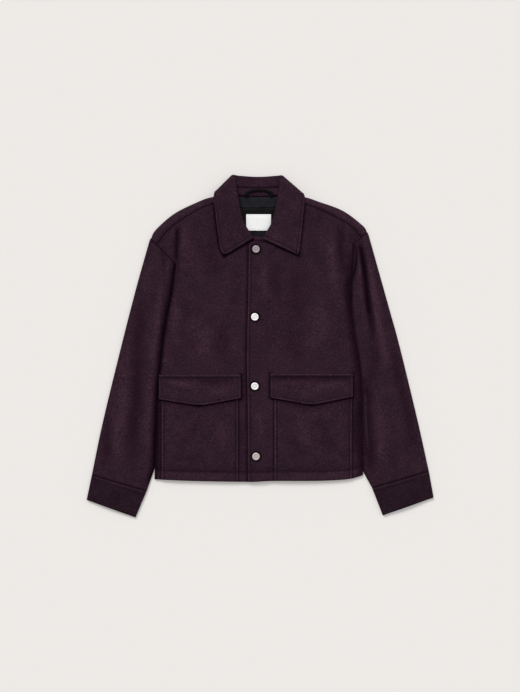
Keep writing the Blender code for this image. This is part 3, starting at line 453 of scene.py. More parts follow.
# Light and camera, in metres
AMBIENT = 0.40
FLOOR_PAINTED_GLOW = 0.22  # share of the floor's brightness that is painted on as a glow, which lightens the shadows on it
FLOOR_SHADES = [(0.2, (0.846, 0.816, 0.792)), (0.8, (0.852, 0.822, 0.798))]
FLOOR_REACH = 60.0
FLOOR_Z = -0.0004
Lamp = namedtuple("Lamp", "name x y z spread strength")
LAMPS = [Lamp("key", -0.42, 0.85, 1.0, 0.42, 2.02), Lamp("fill", 0.9, 0.5, 1.2, 0.9, 0.55)]
CAMERA_HEIGHT = 3.2
CAMERA_PLACE = (0.0002, 0.0005, CAMERA_HEIGHT + 0.01)
SENSOR_WIDTH = 36.0
PHOTO_SPAN = 692 * 2.3 * MM  # height of the photographed area at 2.3 mm to a pixel

# Flat sizes of the cut pieces, in metres
CUTS = {
    "front_left": (0.27, 0.67),
    "front_right": (0.30, 0.67),
    "back": (0.53, 0.68),
    "yoke": (0.20, 0.045),
    "sleeve": (0.40, 0.66),
    "cuff": (0.28, 0.07),
    "collar_fall": (0.62, 0.11),
    "collar_stand": (0.16, 0.03),
    "pocket": (0.185, 0.235),
    "flap": (0.195, 0.075),
    "lining_yoke": (0.126, 0.026),
    "lining_back": (0.134, 0.105),
    "label": (0.0595, 0.0395),
}


def smooth_step(value, low, high):
    """0 below low, 1 above high, and an even S between them."""
    t = np.clip((np.asarray(value, float) - low) / (high - low), 0.0, 1.0)
    return t * t * (3.0 - 2.0 * t)


def bell(distance, spread):
    return np.exp(-((np.asarray(distance, float) / spread) ** 2))


def rounded(distance, radius):
    """Quarter circle: 0 at an edge, 1 from one radius inward."""
    t = 1.0 - np.clip(np.asarray(distance, float) / radius, 0.0, 1.0)
    return np.sqrt(np.maximum(1.0 - t * t, 0.0))


def groove(distance):
    return GROOVE_DEPTH * bell(distance, GROOVE_SPREAD)


def pucker(along, wave, drift):
    """Fine uneven waves of cloth along a row of stitching."""
    return np.sin(along / wave + 2.0 * np.sin(along / drift))


def spline(points, per_stretch=16):
    """Points along a smooth curve through the given rows of numbers."""
    rows = np.asarray(points, float)
    padded = np.vstack([2.0 * rows[0] - rows[1], rows, 2.0 * rows[-1] - rows[-2]])
    a, b, c, d = padded[:-3, None], padded[1:-2, None], padded[2:-1, None], padded[3:, None]
    t = (np.arange(per_stretch) / per_stretch)[None, :, None]
    bend = (2 * a - 5 * b + 4 * c - d) * t**2
    twist = (3 * b - a - 3 * c + d) * t**3
    made = 0.5 * (2 * b + (c - a) * t + bend + twist)
    return np.vstack([made.reshape(-1, rows.shape[1]), rows[-1:]])


def length_along(points):
    steps = np.linalg.norm(np.diff(points, axis=0), axis=1)
    return np.concatenate([[0.0], np.cumsum(steps)])


def at_shares(points, shares):
    """Points at shares of the length of a polyline."""
    along = length_along(points)
    wanted = np.asarray(shares) * along[-1]
    return np.column_stack([np.interp(wanted, along, points[:, k]) for k in range(points.shape[1])])


def stepped(length, start, end, step=GRID_STEP):
    """Distances from 0 to a length, close together at both ends and even between them."""
    count = max(int((length - start[-1] - end[-1]) / step), 2)
    middle = np.linspace(start[-1], length - end[-1], count + 1)[1:-1]
    return np.concatenate([start, middle, (length - end)[::-1]])


def row_places(lengths, start, end, step=GRID_STEP):
    """For rows of different lengths, the same number of places each, close together at both ends."""
    scale = np.minimum(1.0, 0.7 * lengths / (start[-1] + end[-1]))[:, None]
    head = start * scale
    tail = lengths[:, None] - (end * scale)[:, ::-1]
    count = int(lengths.max() / step)
    shares = np.linspace(0.0, 1.0, count + 2)[1:-1]
    return np.hstack([head, head[:, -1:] + (tail[:, :1] - head[:, -1:]) * shares, tail])


def plan_rows(starts, stops, head, tail, step=GRID_STEP):
    """Places on straight rows: x, y, the distances from both ends and the share of the row."""
    run = stops - starts
    lengths = np.linalg.norm(run, axis=1)
    from_start = row_places(lengths, head, tail, step)
    share = from_start / lengths[:, None]
    plan = starts[:, None] + run[:, None] * share[..., None]
    return plan[..., 0], plan[..., 1], from_start, lengths[:, None] - from_start, share


def hem_y(x):
    curve = spline(HEM_LINE)
    return np.interp(x, curve[:, 0], curve[:, 1])


def follow_hem(start, stop, x, y, rise, share):
    """The y of rows that take up the hem's curve in place of their first straight line, each by a share."""
    straight = start[1] + (stop[1] - start[1]) * (x - start[0]) / (stop[0] - start[0])
    return y + (hem_y(x) + rise - straight) * share[:, None]


def front_edge_x(y):
    """The right front's edge, which bows a little to the left below the chest."""
    curve = spline(FRONT_EDGE_BOW)
    return FRONT_EDGE_X + np.interp(y, curve[:, 1], curve[:, 0])


def side_x(side, y):
    curve = np.vstack([spline(SIDE_LINE[side]), spline(SHOULDER_LINE[side])])
    return np.interp(y, curve[:, 1], curve[:, 0])


def lift(x, y):
    """How far the body lies off the floor, over the collar's fall."""
    across = 1.0 - smooth_step(np.abs(np.asarray(x) - CENTRE_X), *LIFT_X)
    return NECK_LIFT * across * smooth_step(y, *LIFT_Y)


def squares_from(path, x, y):
    """Squared distance of each place from each point of a path in plan."""
    return (x[..., None] - path[:, 0]) ** 2 + (y[..., None] - path[:, 1]) ** 2


def crease_depth(creases, x, y):
    """Sum of soft troughs and ridges at a place. Each wanders a little and stands up at its lips."""
    total = np.zeros(np.broadcast(x, y).shape)
    count = 40
    for number, c in enumerate(creases):
        curve = spline([(c.x0, c.y0), (c.x1, c.y1), (c.x2, c.y2)])
        path = at_shares(curve, np.linspace(0.0, 1.0, count))
        path[:, 0] += 0.2 * c.half_width * np.sin(np.linspace(0.0, 9.0, count) + 1.7 * number)
        apart = squares_from(path, x, y)
        away = np.sqrt(apart.min(axis=-1))
        share = apart.argmin(axis=-1) / (count - 1.0)
        ends = smooth_step(share, 0.0, 0.3) * (1.0 - smooth_step(share, 0.7, 1.0))
        lips = bell(away - 2.0 * c.half_width, c.half_width)
        total = total + c.depth * ends * (bell(away, c.half_width) - CREASE_LIPS * lips)
    return total


def away_from(line, x, y):
    """Distance of each place from a polyline in plan."""
    path = at_shares(np.asarray(line, float), np.linspace(0.0, 1.0, 160))
    return np.sqrt(squares_from(path, x, y).min(axis=-1))


def collar_end(side):
    """The lower end of one side of the fall."""
    end = COLLAR[side][0]
    return [(end.roll_x, end.roll_y), (end.edge_x, end.edge_y)]


def collar_edge(side):
    """The outer edge of one side of the fall, where it lies on top."""
    return [(s.edge_x, s.edge_y) for s in COLLAR[side] if s.turn < FALL_ON_TOP]


def collar_roll(side):
    """The inner edge of one side of the fall, where it rolls over."""
    return [(s.roll_x, s.roll_y) for s in COLLAR[side] if s.turn < FALL_ON_TOP]


def flap_outline(side):
    """The sides and the lower edge of a flap."""
    f = FLAPS[side]
    lower = [(f.inner_x, f.inner_y), (f.point_x, f.point_y), (f.outer_x, f.outer_y)]
    return [(f.inner_x, f.top_y), *lower, (f.outer_x, f.top_y)]


def painted_crease_shade(depth):
    """Painted shade in a trough and a painted highlight on a ridge."""
    return np.exp(-CREASE_SHADE_PER_MM * depth)


def painted_line_shade(*lines):
    """Painted shade along lines: seams, edges, folds and the sides of what lies on the cloth; each line is a
    distance, a spread and a strength.
    """
    tone = 1.0
    for distance, spread, strength in lines:
        tone = tone * (1.0 - strength * bell(distance, spread))
    return tone


def rolls_tone(x, y, spread, strength):
    """Shade beside the collar's inner edges."""
    return painted_line_shade(*[(away_from(collar_roll(side), x, y), spread, strength) for side in SIDES])


def painted_fold_shade(piece, x, y):
    """Painted shade in the sharpest folds of a piece."""
    folds = DEEP_FOLDS[piece]
    return painted_line_shade(*[(away_from(fold.line, x, y), fold.spread, fold.strength) for fold in folds])


def hem_relief(x, from_hem, roll):
    """The hem's row of stitching sinks in and puckers, and the cloth rolls below it."""
    from_row = from_hem - HEM_STITCH
    sunk = groove(from_row) + 0.5 * bell(from_row - 2.0, 3.0)
    return 0.2 * pucker(x, 2.1, 31.0) * bell(from_row, 7.0) - sunk + roll * bell(from_hem - 11.0, 8.0)


def painted_hem_shading(from_hem):
    from_row = from_hem - HEM_STITCH
    # Painted highlight on the rolled band between the hem's edge and its row, and painted shade in the row's
    # groove.
    lit = 1.0 + 0.2 * bell(from_hem - 11.0, 7.0)
    return lit * painted_line_shade((from_row, 1.6, 0.68), (from_row - 6.0, 6.0, 0.14))


def swell(x, y):
    """Long shallow waves of cloth that is not quite flat."""
    waves = 0.45 * np.sin(x / 47.0 + 0.6) * np.sin(y / 61.0 + 0.3)
    waves = waves + 0.30 * np.sin(x / 29.0 - y / 83.0 + 1.1)
    return waves + 0.22 * np.sin(x / 71.0 + y / 37.0 + 2.0)


def overlap_rise(side, x, y):
    """The right front lies over the left one at the middle."""
    if side == "left":
        return np.zeros(np.broadcast(x, y).shape)
    top = TOP_EDGE[side]
    start = UNDERLAP_X + 1.5 + TOP_RAMP_SHIFT * smooth_step(y, top - 38.0, top - 12.0)
    raised = 1.0 - smooth_step(x - start, 0.0, UNDERLAP_RAMP)
    return OVERLAP * raised * (1.0 - smooth_step(y, top + 4.0, top + 20.0))


def body_top(side, x, y):
    """Height of a front's face, without its edges and sewing."""
    x, y = np.asarray(x, float), np.asarray(y, float)
    raised = lift(x, y)
    from_side = np.abs(side_x(side, y) - x)
    share = np.maximum(smooth_step(from_side, 0.0, CROWN_REACH), raised / NECK_LIFT)
    sunk = HEM_SINK * (1.0 - smooth_step(y - hem_y(x), 0.0, 75.0)) * share
    height = raised - sunk + 2 * FOLD_RADIUS + (BODY_DEPTH - 2 * FOLD_RADIUS) * share
    height = height + overlap_rise(side, x, y)
    calm = smooth_step(from_side, 4.0, 30.0) * (1.0 - 0.7 * smooth_step(y, 285.0, 320.0))
    creases = crease_depth(BODY_CREASES[side], x, y) * smooth_step(from_side, 1.0, 10.0)
    return height + swell(x, y) * calm - creases


# Meshes and sewing


def grid_normals(grid, ring=False):
    """Unit normals of a grid of points."""
    along = np.gradient(grid, axis=0)
    if ring:
        across = 0.5 * (np.roll(grid, -1, axis=1) - np.roll(grid, 1, axis=1))
    else:
        across = np.gradient(grid, axis=1)
    normal = np.cross(along, across)
    return normal / np.maximum(np.linalg.norm(normal, axis=2, keepdims=True), 1e-9)


def turned_up(normal, row, column):
    """Normals of a grid, turned so that the one named points upward."""
    return -normal if normal[row, column, 2] < 0 else normal


def offset(grid, distance):
    """Steps along a grid's normals, which are turned upward."""
    normal = turned_up(grid_normals(grid), grid.shape[0] // 2, grid.shape[1] // 2)
    return normal * np.asarray(distance)[..., None]


def grid_area(grid):
    """Area of a grid of points in square metres."""
    a, b, c, d = grid[:-1, :-1], grid[1:, :-1], grid[1:, 1:], grid[:-1, 1:]
    first = np.linalg.norm(np.cross(b - a, c - a), axis=2)
    second = np.linalg.norm(np.cross(c - a, d - a), axis=2)
    return 0.5 * float((first + second).sum()) * MM * MM


def shell_faces(rows, columns, ring):
    """Quads of an outer grid, an inner grid and the rims between them."""
    number = np.arange(rows * columns).reshape(rows, columns)
    if ring:
        number = np.hstack([number, number[:, :1]])
    total = rows * columns
    a, b, c, d = number[:-1, :-1], number[:-1, 1:], number[1:, 1:], number[1:, :-1]
    outer = np.stack([a, b, c, d], axis=-1).reshape(-1, 4)
    inner = np.stack([d, c, b, a], axis=-1).reshape(-1, 4) + total
    rims = [number[0, ::-1], number[-1]]
    if not ring:
        rims += [number[:, 0], number[::-1, -1]]
    strips = [np.stack([k[:-1], k[1:], k[1:] + total, k[:-1] + total], axis=-1) for k in rims]
    return np.vstack([outer, inner, *strips])


def add_object(name, data):
    obj = bpy.data.objects.new(name, data)
    bpy.context.scene.collection.objects.link(obj)
    return obj


def add_mesh(name, points, faces, material, tones=None):
    """A smooth mesh that rides on the jacket, from points in millimetres."""
    mesh = bpy.data.meshes.new(name)
    mesh.from_pydata((np.asarray(points) * MM).tolist(), [], [tuple(face) for face in faces])
    if tones is not None:
        mesh.attributes.new("tone", "FLOAT", "POINT").data.foreach_set("value", tones)
    mesh.shade_smooth()
    mesh.materials.append(material)
    obj = add_object(name, mesh)
    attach(obj, "root")
    return obj


def add_shell(node, outer, inner, material, ring=False, tone=1.0, kind="cloth"):
    """A closed thin shell between two grids in place of a node; the tone is painted shade and painted light
    on its colour.
    """
    rows, columns = outer.shape[:2]
    points = np.vstack([outer.reshape(-1, 3), inner.reshape(-1, 3)])
    faces = shell_faces(rows, columns, ring)
    middle = rows // 2, columns // 4
    if np.dot(grid_normals(outer, ring)[middle], outer[middle] - inner[middle]) < 0:
        faces = faces[:, ::-1]
    shades = np.clip(tone + np.zeros((rows, columns)), *TONE_RANGE)
    tones = np.concatenate([shades.ravel(), np.ones(rows * columns)])
    shell = add_mesh(f"{kind}_{node}", points, faces.tolist(), material, tones)
    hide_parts(node)
    return shell


def declare(cut, area, with_pieces=()):
    """Takes the smaller of a piece's area and the flat size of its cut, and keeps nothing of it."""
    flat = CUTS[cut]
    area = min(area, flat[0] * flat[1])


def stitch_shape():
    """One stitch along X: a low grain of thread, pointed at both ends."""
    sides = 6
    angles = np.linspace(0.0, 2.0 * math.pi, sides, endpoint=False)
    points = [(-0.5, 0.0, -0.5)]
    for x in (-0.3, 0.3):
        points.extend((x, math.cos(a), 0.75 * math.sin(a)) for a in angles)
    points.append((0.5, 0.0, -0.5))
    faces = []
    for k in range(sides):
        n = (k + 1) % sides
        faces.append((0, 1 + n, 1 + k))
        faces.append((1 + k, 1 + n, 1 + sides + n, 1 + sides + k))
        faces.append((2 * sides + 1, 1 + sides + k, 1 + sides + n))
    return np.array(points), faces


def sew(name, runs, material):
    """Rows of stitches along polylines on the cloth, joined into one mesh."""
    shape, shape_faces = stitch_shape()
    points, faces = [], []
    for run in runs:
        total = length_along(run)[-1]
        starts = (np.arange(int(total / STITCH_PITCH)) + 0.15) * STITCH_PITCH / total
        ends = starts + STITCH_LENGTH / total
        for start, end in zip(at_shares(run, starts), at_shares(run, ends)):
            size = np.linalg.norm(end - start)
            ahead = (end - start) / size
            aside = np.cross((0.0, 0.0, 1.0), ahead)
            aside = aside / np.linalg.norm(aside)
            above = np.cross(ahead, aside)
            axes = np.array([ahead * size, aside * STITCH_RADIUS, above * STITCH_RADIUS])
            first = len(points) * len(shape)
            points.append(0.5 * (start + end) + shape @ axes + above * STITCH_RISE)
            faces.extend(tuple(first + k for k in f) for f in shape_faces)
    return add_mesh(f"sewing_{name}", np.vstack(points), faces, material)


def along_rows(grid, distances, wanted, rows=slice(None)):
    """The line on a grid that keeps one distance along each of its rows."""
    points = []
    for row, places in zip(grid[rows], distances[rows]):
        order = np.argsort(places)
        points.append([np.interp(wanted, places[order], row[order, k]) for k in range(3)])
    return np.array(points)


def along_columns(grid, distances, wanted, columns=slice(None)):
    return along_rows(grid.transpose(1, 0, 2)[columns], distances.T[columns], wanted)


# Materials


def set_inputs(tree, node, inputs):
    """Links or sets a node's inputs."""
    for key, value in inputs.items():
        if isinstance(value, bpy.types.NodeSocket):
            tree.links.new(value, node.inputs[key])
        else:
            node.inputs[key].default_value = value


def add_node(tree, kind, inputs, **settings):
    node = tree.nodes.new(f"ShaderNode{kind}")
    for key, value in settings.items():
        setattr(node, key, value)
    set_inputs(tree, node, inputs)
    return node


def new_material(name, inputs):
    """A material whose shader has the given inputs."""
    material = bpy.data.materials.new(name)
    material.use_nodes = True
    shader = material.node_tree.nodes["Principled BSDF"]
    set_inputs(material.node_tree, shader, inputs)
    return material, material.node_tree, shader


def add_noise(tree, scale, detail, roughness, stretch=None):
    """A noise pattern in the jacket's own space; the scale is in features per metre."""
    place = add_node(tree, "TexCoord", {}).outputs["Object"]
    if stretch:
        place = add_node(tree, "Mapping", {"Vector": place, "Scale": stretch}).outputs["Vector"]
    inputs = {"Vector": place, "Scale": scale, "Detail": detail, "Roughness": roughness}
    return add_node(tree, "TexNoise", inputs).outputs["Fac"]


def add_ramp(tree, value, stops):
    """Colours along a value; each stop is a position and a colour."""
    ramp = add_node(tree, "ValToRGB", {"Fac": value})
    while len(ramp.color_ramp.elements) < len(stops):
        ramp.color_ramp.elements.new(0.5)
    for element, (position, colour) in zip(ramp.color_ramp.elements, stops):
        element.position = position
        element.color = (*colour, 1.0)
    return ramp.outputs["Color"]


def mix_colours(tree, factor, first, second, blend="MIX"):
    """Two colours mixed: the node's inputs 0, 6 and 7 and its output 2 are those for colours."""
    inputs = {0: factor, 6: first, 7: second}
    return add_node(tree, "Mix", inputs, data_type="RGBA", blend_type=blend).outputs[2]


def sum_heights(tree, parts):
    """Weighted sum of values."""
    total = 0.0
    for value, weight in parts:
        inputs = {0: value, 1: weight, 2: total}
        total = add_node(tree, "Math", inputs, operation="MULTIPLY_ADD").outputs[0]
    return total


def add_bump(tree, shader, height, strength, distance):
    bump = add_node(tree, "Bump", {"Strength": strength, "Distance": distance, "Height": height})
    tree.links.new(bump.outputs["Normal"], shader.inputs["Normal"])


def add_math(tree, operation, value, number):
    return add_node(tree, "Math", {0: value, 1: number}, operation=operation).outputs["Value"]


def add_toned(tree, shader, colour, powers=(1.0, 1.0, 1.0)):
    """The base colour by the tone that each mesh holds, its painted shade and light; a tone below 1, painted
    shade, has its own power for each channel.
    """
    held = add_node(tree, "Attribute", {}, attribute_name="tone").outputs["Fac"]
    shade = add_math(tree, "MINIMUM", held, 1.0)
    light = add_math(tree, "MAXIMUM", held, 1.0)
    channels = {number: add_math(tree, "POWER", shade, power) for number, power in enumerate(powers)}
    shading = add_node(tree, "CombineXYZ", channels).outputs["Vector"]
    shaded = add_node(tree, "VectorMath", {0: colour, 1: shading}, operation="MULTIPLY").outputs["Vector"]
    toned = add_node(tree, "VectorMath", {0: shaded, "Scale": light}, operation="SCALE").outputs["Vector"]
    tree.links.new(toned, shader.inputs["Base Color"])


def grey(level):
    return (level, level, level)


def make_wool(name, tint):
    """Milled wool: mixed dark fibres, a short brushed nap and a soft sheen."""
    inputs = {"Roughness": 0.95, "Specular IOR Level": 0.05, "Sheen Weight": 0.03, "Sheen Roughness": 0.5}
    inputs["Sheen Tint"] = (0.62, 0.42, 0.54, 1.0)
    material, tree, shader = new_material(name, inputs)
    cloud = add_noise(tree, 42.0, 3.0, 0.55)
    heather = add_noise(tree, 300.0, 5.0, 0.75)
    nap = add_noise(tree, 900.0, 3.0, 0.6, (1.0, 0.35, 1.0))
    flecks = add_noise(tree, 560.0, 2.0, 0.5)
    shades = [(position, [k * tint for k in colour]) for position, colour in WOOL_SHADES]
    tone = add_ramp(tree, heather, shades)
    clouded = add_ramp(tree, cloud, [(0.3, (0.84, 0.83, 0.84)), (0.7, grey(1.16))])
    tone = mix_colours(tree, 1.0, tone, clouded, "MULTIPLY")
    fleck = add_ramp(tree, flecks, [(0.62, grey(0.0)), (0.74, grey(1.0))])
    tone = mix_colours(tree, fleck, tone, tuple(k * tint for k in WOOL_FLECK) + (1.0,))
    add_toned(tree, shader, tone, WOOL_DEPTH)
    add_bump(tree, shader, sum_heights(tree, [(heather, 0.8), (nap, 0.6), (flecks, 0.3)]), 0.6, 0.0008)
    return material


def make_thread(name, colour, sheen):
    material, tree, shader = new_material(name, {"Roughness": 0.62, "Sheen Weight": sheen})
    twist = add_noise(tree, 1600.0, 2.0, 0.5, (1.0, 1.0, 0.4))
    tone = add_ramp(tree, twist, [(0.3, [k * 0.7 for k in colour]), (0.7, [k * 1.25 for k in colour])])
    tree.links.new(tone, shader.inputs["Base Color"])
    add_bump(tree, shader, twist, 0.4, 0.0002)
    return material


def make_satin(name, dark, light, roughness):
    """Satin lining: fine ribs with a silky shine."""
    inputs = {"Roughness": roughness, "Sheen Weight": 0.02, "Specular IOR Level": 0.07}
    material, tree, shader = new_material(name, inputs)
    ribs = add_noise(tree, 900.0, 2.0, 0.5, (1.0, 0.06, 1.0))
    cloud = add_noise(tree, 60.0, 3.0, 0.5)
    tone = add_ramp(tree, cloud, [(0.3, dark), (0.7, light)])
    shade = add_ramp(tree, ribs, [(0.3, grey(0.82)), (0.7, grey(1.15))])
    add_toned(tree, shader, mix_colours(tree, 1.0, tone, shade, "MULTIPLY"))
    add_bump(tree, shader, sum_heights(tree, [(ribs, 0.6), (cloud, 0.5)]), 0.35, 0.0003)
    return material


def make_label_cloth(name):
    """White woven tape with a fine ribbed face."""
    material, tree, shader = new_material(name, {"Roughness": 0.68, "Sheen Weight": 0.15})
    ribs = add_noise(tree, 1100.0, 2.0, 0.5, (0.08, 1.0, 1.0))
    shades = [(0.25, (0.95, 0.95, 0.945)), (0.75, (0.99, 0.99, 0.985))]
    add_toned(tree, shader, add_ramp(tree, ribs, shades))
    add_bump(tree, shader, ribs, 0.3, 0.0002)
    return material


def make_stud_metal(name, dark, light, roughness, metallic):
    """Plated metal with fine turning marks and slight wear."""
    material, tree, shader = new_material(name, {"Roughness": roughness, "Metallic": metallic})
    wear = add_noise(tree, 420.0, 4.0, 0.6)
    add_toned(tree, shader, add_ramp(tree, wear, [(0.3, dark), (0.7, light)]))
    add_bump(tree, shader, add_noise(tree, 2600.0, 2.0, 0.5), 0.12, 0.0001)
    return material


# Cloth pieces


def edge_share(distance, radius=EDGE_ROUND):
    """Share of a cloth's thickness near its rounded edge; a little is kept at the edge itself."""
    return rounded(distance + EDGE_KEPT, radius)


def neck_curve(side):
    """The edge of one front along the collar."""
    places = spline([(s.neck_x, s.neck_y) for s in COLLAR[side][:6]])
    places = places[places[:, 1] < FRONT_NECK_TOP]
    run = np.gradient(places, axis=0)
    run = run / np.linalg.norm(run, axis=1)[:, None]
    return places + NECK_INSET * HAND[side] * np.column_stack([run[:, 1], -run[:, 0]])


def front_rows(side):
    """Start and stop of every section of a front, its height above the hem and its turn at the side."""
    centre_x = UNDERLAP_X if side == "left" else FRONT_EDGE_X
    top = TOP_EDGE[side]
    low = float(hem_y(centre_x))
    neck = neck_curve(side)
    neck = neck[neck[:, 1] > top - 1.0]
    side_curve, seam = spline(SIDE_LINE[side]), spline(FORWARD_SEAM[side])
    height = top - TOP_STRETCH - low
    near_studs = np.concatenate([stud.y - low + STUD_STEPS for stud in STUDS[1:]])
    rises = np.union1d(stepped(height, HEM_STEPS, np.array([0.0])), near_studs)
    up = rises / height
    across = (np.arange(CORNER_ROWS) + 1.0) / (CORNER_ROWS + 1.0)
    around = np.linspace(0.0, 1.0, NECK_ROWS)
    corner = [(centre_x + HAND[side] * inward, top - below) for inward, below in FRONT_CORNER]
    corner = spline([*corner, tuple(neck[0])])
    edge_x = front_edge_x(low + rises) if side == "right" else np.full(len(up), centre_x)
    edge = np.column_stack([edge_x, low + rises])
    starts = np.vstack([edge, at_shares(corner, across), at_shares(neck, around)])
    armhole = np.array([side_curve[-1], seam[0]])
    stops = np.vstack([at_shares(side_curve, up), at_shares(armhole, across), at_shares(seam, around)])
    rest = CORNER_ROWS + NECK_ROWS
    above = np.concatenate([rises, np.full(rest, height)])
    turn = np.concatenate([1.0 - smooth_step(up, 0.90, 1.0), np.zeros(rest)])
    return starts, stops, above, turn[:, None]


def front_tone(side, p):
    """Painted shade of a front in its creases, along its sewing and beside what lies on it, with a painted
    highlight along the right front's edge.
    """
    tone = painted_crease_shade(crease_depth(BODY_CREASES[side], p.x, p.y) + 0.6 * swell(p.x, p.y))
    tone = tone * painted_fold_shade(f"front_{side}", p.x, p.y) * painted_hem_shading(p.from_hem)
    seam = (p.from_end, 2.8, 0.66 * (1.0 - p.turn))
    tone = tone * painted_line_shade((p.from_end - ARMHOLE_STITCH, 1.5, 0.3 * p.on_armhole), seam)
    reach, strength = SIDE_SHADE[side]
    tone = tone * (1.0 - strength * p.turn * (1.0 - smooth_step(p.from_end, 0.0, reach)))
    outlines = collar_end(side), collar_edge(side), flap_outline(side)
    for outline, strength in zip(outlines, CONTACT_SHADE[side]):
        tone = tone * painted_line_shade((away_from(outline, p.x, p.y), CONTACT_SPREAD, strength))
    pocket = POCKETS[side]
    for edge_x in (pocket.inner_x, pocket.outer_x):
        tone = tone * painted_line_shade((p.x - edge_x, 2.6, 0.55 * (p.y < pocket.top_y)))
    # Painted shadow in a ring round each stud.
    for stud in STUDS:
        from_rim = np.hypot(p.x - stud.x, p.y - stud.y) - STUD_RADIUS
        tone = tone * painted_line_shade((from_rim - 1.0, 2.7, 0.98))
    if side == "right":
        tone = tone * painted_line_shade((p.from_start - FRONT_STITCH, 1.6, 0.62 * p.on_edge))
        # Painted highlight on the rim of the right front's edge.
        return tone * (1.0 + 0.55 * bell(p.from_start - 1.8, 1.6) * p.on_edge)
    # Painted shadow of the right front's edge and top on the left front.
    end_y = TOP_EDGE["right"]
    beside_edge = (p.x - front_edge_x(p.y) + 2.0, 4.0, 0.62 * (p.y < end_y))
    behind = smooth_step(p.x, FRONT_EDGE_X, FRONT_EDGE_X + 8.0)
    return tone * painted_line_shade(beside_edge, (p.y - end_y - 1.6, 2.8, 0.94 * behind))


def build_front(side, wool, thread):
    """One front with its hem, edge and armhole sewing."""
    starts, stops, above, turn = front_rows(side)
    x, y, from_start, from_end, _ = plan_rows(starts, stops, CENTRE_STEPS, TURN_STEPS)
    y = follow_hem(starts[0], stops[0], x, y, 0.0, 1.0 - smooth_step(above, 0.0, HEM_BLEND))
    from_hem = y - hem_y(x)
    rows, highest = len(above), above.max()
    on_edge = (np.arange(rows) < rows - NECK_ROWS)[:, None]
    on_armhole = smooth_step(above, highest - ARMHOLE_FADE[0], highest - ARMHOLE_FADE[1])[:, None]
    face = body_top(side, x, y)
    crest = lift(x, y) + FOLD_RADIUS + FOLD_GAP
    turned = crest + (face - crest) * rounded(from_end, TURN_REACH)
    seamed = face - SEAM_DIP * bell(from_end, SEAM_SPREAD)
    cloth = CLOTH * edge_share(from_start) * edge_share(from_hem)
    z = seamed + (turned - seamed) * turn - (CLOTH - cloth) + hem_relief(x, from_hem, 0.5)
    sewn = 0.16 * pucker(y, 1.9, 23.0) * bell(from_start - 3.0, 4.0) - groove(from_start - FRONT_STITCH)
    z = z + sewn * on_edge - 0.8 * groove(from_end - ARMHOLE_STITCH) * on_armhole
    top = np.dstack([x, y, z])
    tone = front_tone(side, Panel(x, y, from_start, from_end, from_hem, turn, on_edge, on_armhole))
    front = add_shell(f"front_{side}", top, top - offset(top, cloth), wool, tone=tone)
    runs = [along_columns(top, from_hem, HEM_STITCH, slice(4, -4))]
    if side == "right":
        runs.append(along_rows(top, from_start, FRONT_STITCH, slice(3, rows - NECK_ROWS - 14)))
    first = np.flatnonzero(above > highest - ARMHOLE_SEWN)[0]
    runs.append(along_rows(top, from_end, ARMHOLE_STITCH, slice(first, rows - 6)))
    sewing = sew(f"front_{side}", runs, thread)
    declare(f"front_{side}", grid_area(top), [sewing])


def back_edge(side):
    """The back's outline on one side, from the hem to the neck."""
    side_curve, shoulder = spline(SIDE_LINE[side]), spline(SHOULDER_LINE[side])
    shares = (np.arange(BACK_ARMHOLE_ROWS) + 1.0) / (BACK_ARMHOLE_ROWS + 1.0)
    armhole = at_shares(np.array([side_curve[-1], shoulder[0]]), shares)
    over = at_shares(shoulder, np.linspace(0.0, 1.0, BACK_SHOULDER_ROWS))
    return np.vstack([at_shares(side_curve, BACK_UP), armhole, over])


def build_back(wool):
    """The back, flat on the floor and turned up at its sides and shoulders."""
    left, right = (back_edge(side) for side in SIDES)
    rows = len(left)
    number = np.arange(rows)
    x, y, from_left, from_right, _ = plan_rows(left, right, TURN_STEPS, TURN_STEPS, BACK_STEP)
    from_edge = np.minimum(from_left, from_right)
    y = follow_hem(left[0], right[0], x, y, BACK_HEM_RISE, 1.0 - smooth_step(number, 0.0, 10.0))
    half_neck = 0.5 * (right[-1, 0] - left[-1, 0])
    dip = BACK_NECK_DIP * (1.0 - ((x - CENTRE_X) / half_neck) ** 2)
    y = y - dip * smooth_step(number, rows - 8.0, rows - 1.0)[:, None]
    armhole = len(BACK_UP)
    shoulder = armhole + BACK_ARMHOLE_ROWS
    at_side = 1.0 - smooth_step(number, armhole - 7.0, armhole)
    turn = np.where(number < armhole, at_side, smooth_step(number, shoulder - 2.0, shoulder + 4.0))
    hollow = np.clip(crease_depth(BACK_CREASES, x, y), 0.0, None) * smooth_step(from_edge, 4.0, 24.0)
    z = lift(x, y) + FOLD_RADIUS * (1.0 - rounded(from_edge, TURN_REACH)) * turn[:, None] + hollow
    under = np.dstack([x, y, z])
    thickness = CLOTH * rounded((number * 0.8)[:, None] + 0.1, EDGE_ROUND) + 0.0 * x
    inner = under + offset(under, thickness)
    # Painted shade in the back's hollows.
    back = add_shell("back", under, inner, wool, tone=painted_crease_shade(1.6 * hollow))
    declare("back", grid_area(under))


